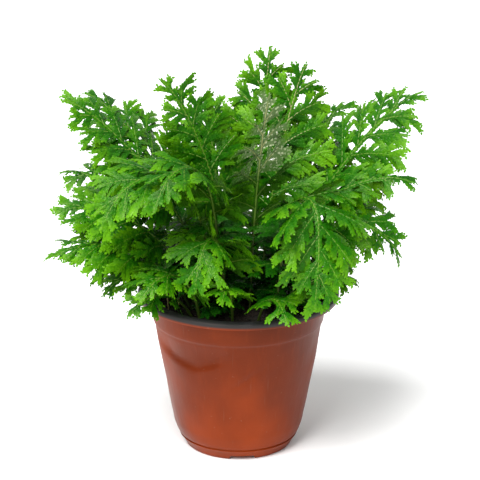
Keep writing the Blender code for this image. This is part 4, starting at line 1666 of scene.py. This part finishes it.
@dataclass
class PottingMix:
    """The dark mix that fills the pot, with a lumpy top and loose crumbs. The side's rings are in mm."""

    segments: int = 120
    top_rings: int = 34
    top_radius: float = 45.1 * MM
    side: tuple[Pair, ...] = (
        *((42.1, 62.0), (40.7, 54.0), (38.7, 43.0)),
        *((34.0, 16.4), (30.9, 7.6), (28.4, 3.0)),
    )
    nearby: tuple[float, ...] = (-8.0, -6.0, -4.0, -2.0, 0.0, 2.0, 4.0, 6.0, 8.0)
    swell_scale: float = 38.0
    swell_height: float = 0.8
    swell_offset: Triple = (5.0, 1.0, 0.0)
    lump_scale: float = 170.0
    lump_height: float = 0.75
    lump_roughness: float = 0.8
    lump_detail: int = 4
    top_depth: float = 4.0 * MM
    crumb_density: float = 90000.0
    crumb_length: float = 2.6 * MM
    crumb_sizes: Pair = (0.35, 1.3)
    crumb_half: Triple = (0.5, 0.34, 0.22)
    crumb_bite: Pair = (0.6, 1.0)
    crumb_seed: int = 5
    size_seed: int = 7
    strewing_seed: int = 11
    full_turn: float = 6.28
    pot: NurseryPot = field(default_factory=NurseryPot)

    def top(self, x: float, y: float) -> float:
        """Height of the mix at a place."""
        place = Vector((x, y, 0.0))
        lumps = noise.fractal(place * self.lump_scale, self.lump_roughness, 2.0, self.lump_detail)
        swell = noise.noise(place * self.swell_scale + Vector(self.swell_offset))
        return MIX_HEIGHT + (self.swell_height * swell + self.lump_height * lumps) * MM

    def body_mesh(self) -> bpy.types.Mesh:
        """The mix itself, closed."""
        count = self.segments
        angles = [2.0 * math.pi * k / count for k in range(count)]
        points = [Vector((0.0, 0.0, self.top(0.0, 0.0)))]
        for ring in range(1, self.top_rings + 1):
            radius = self.top_radius * ring / self.top_rings
            for angle in angles:
                x, y = radius * math.cos(angle), radius * math.sin(angle)
                points.append(Vector((x, y, self.top(x, y))))
        for radius, height in self.side:
            for angle in angles:
                azimuth = math.degrees(angle)
                dented = max(self.pot.wall_shift(azimuth, (height + up) * MM) for up in self.nearby)
                inner = radius * MM - max(0.0, dented)
                points.append(Vector((inner * math.cos(angle), inner * math.sin(angle), height * MM)))
        faces: list[tuple[int, ...]] = [(0, 1 + k, 1 + (k + 1) % count) for k in range(count)]
        last = 1 + (self.top_rings + len(self.side) - 1) * count
        for row in range(1, last, count):
            below = row + count
            for k in range(count):
                other = (k + 1) % count
                faces.append((row + k, below + k, below + other, row + other))
        base = len(points)
        points.append(Vector((0.0, 0.0, self.side[-1][1] * MM)))
        faces += [(base, last + (k + 1) % count, last + k) for k in range(count)]
        mesh = mesh_of("potting_mix_body", points, faces)
        mesh.shade_smooth()
        store(mesh, "top", [1.0 if point.z > MIX_HEIGHT - self.top_depth else 0.0 for point in points])
        return mesh

    def crumb(self) -> bpy.types.Object:
        """One crumb of bark, a rough closed lump of length about 1."""
        draw = random.Random(self.crumb_seed)
        corners = [(x, y, z) for z in (-1, 1) for y in (-1, 1) for x in (-1, 1)]
        points = [
            [half * sign * draw.uniform(*self.crumb_bite) for half, sign in zip(self.crumb_half, corner)]
            for corner in corners
        ]
        faces = [(0, 2, 3, 1), (4, 5, 7, 6), (0, 1, 5, 4), (2, 6, 7, 3), (0, 4, 6, 2), (1, 3, 7, 5)]
        return linked("crumb", mesh_of("crumb", points, faces))

    def crumb_tree(self, crumb: bpy.types.Object) -> GeometryTree:
        """The Geometry Nodes tree that strews crumbs over the top."""
        kinds = {"Density": "Float", "Crumb Length": "Float", "Seed": "Int", "Material": "Material"}
        tree = GeometryTree("crumbs_on_top", kinds)
        given = tree.given
        body = given["Geometry"]
        density = tree.math("MULTIPLY", tree.named("top"), given["Density"])
        strewing = {"Mesh": body, "Seed": given["Seed"], "Density": density}
        strewn = tree.node("GeometryNodeDistributePointsOnFaces", **strewing).outputs[0]
        turns = tree.node("FunctionNodeRandomValue", {"data_type": "FLOAT_VECTOR"}, Seed=given["Seed"])
        turns.inputs[0].default_value = (0.0, 0.0, 0.0)
        turns.inputs[1].default_value = (self.full_turn, self.full_turn, self.full_turn)
        turn = tree.node("FunctionNodeEulerToRotation", i0=turns.outputs[0]).outputs[0]
        size = tree.math("MULTIPLY", tree.random(self.crumb_sizes, self.size_seed), given["Crumb Length"])
        crumbs = tree.set_on(strewn, crumb, turn, size)
        tree.finish(tree.painted(tree.realized((crumbs, body)), given["Material"]))
        return tree

    def build(self) -> int:
        """Build the mix and put it in place of its node."""
        crumb = self.crumb()
        values = {
            "Density": self.crumb_density,
            "Crumb Length": self.crumb_length,
            "Seed": self.strewing_seed,
            "Material": MixFinish().material(),
        }
        mesh = self.crumb_tree(crumb).apply(linked("potting_mix_carrier", self.body_mesh()), values)
        bpy.data.objects.remove(crumb)
        return add_piece("potting_mix_bed", mesh, Slot.MIX, "potting_mix")


# Floor, light and camera


@dataclass
class Studio:
    """A pale floor, soft white light and the camera of the photograph."""

    elevation: float = 17.8
    distance: float = 0.9
    target: Triple = (0.0008, 0.0, 0.1143)
    frame_width: float = 0.25536
    sensor_width: float = 36.0
    floor_size: float = 6.0
    world_strength: float = 0.66
    key_strength: float = 4.1
    key_softness: float = 32.0
    key_from: Triple = (-0.28, -0.45, 1.0)
    lamp_place: Triple = (-0.35, -0.9, 0.75)
    lamp_side: float = 0.35
    lamp_watts: float = 5.4

    @staticmethod
    def aim(thing: bpy.types.Object, way: Vector) -> None:
        """Turn a lamp or a camera to look along a direction."""
        thing.rotation_mode = "QUATERNION"
        thing.rotation_quaternion = way.to_track_quat("-Z", "Y")

    def floor(self) -> None:
        """Lay the floor."""
        half = self.floor_size / 2.0
        corners = [(-half, -half, 0.0), (half, -half, 0.0), (half, half, 0.0), (-half, half, 0.0)]
        mesh = mesh_of("floor", corners, [(0, 1, 2, 3)])
        mesh.materials.append(FloorFinish().material())
        linked("floor", mesh)

    def lights(self) -> None:
        """Light the plant from above and from the front."""
        world = bpy.data.worlds.new("white_room")
        world.use_nodes = True
        background = world.node_tree.nodes["Background"]
        background.inputs["Color"].default_value = (1.0, 1.0, 1.0, 1.0)
        background.inputs["Strength"].default_value = self.world_strength
        bpy.context.scene.world = world
        sun = bpy.data.lights.new("key_light", "SUN")
        sun.energy = self.key_strength
        sun.angle = math.radians(self.key_softness)
        self.aim(linked("key_light", sun), -Vector(self.key_from))
        light = bpy.data.lights.new("front_lamp", "AREA")
        light.size = self.lamp_side
        light.energy = self.lamp_watts
        lamp = linked("front_lamp", light)
        lamp.location = self.lamp_place
        self.aim(lamp, Vector(self.target) - Vector(self.lamp_place))

    def camera(self) -> None:
        """Set the camera up as the photograph was taken."""
        data = bpy.data.cameras.new("camera")
        data.sensor_width = self.sensor_width
        data.lens = self.sensor_width * self.distance / self.frame_width
        tilt = math.radians(self.elevation)
        back = Vector((0.0, -math.cos(tilt), math.sin(tilt)))
        camera = linked("camera", data)
        camera.location = Vector(self.target) + back * self.distance
        self.aim(camera, -back)
        bpy.context.scene.camera = camera
        bpy.context.scene.view_settings.view_transform = "Standard"

    def build(self) -> None:
        """Set up the whole studio."""
        self.floor()
        self.lights()
        self.camera()


def main() -> None:
    """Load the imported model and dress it."""
    logging.basicConfig(level=logging.INFO, format="%(name)s: %(message)s")
    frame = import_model()
    Studio().build()
    total = NurseryPot().build()
    total += PottingMix().build()
    total += Foliage().build(frame["nodes"])
    LOG.info("all pieces: %d triangles", total)
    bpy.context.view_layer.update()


if __name__ == "__main__":
    main()
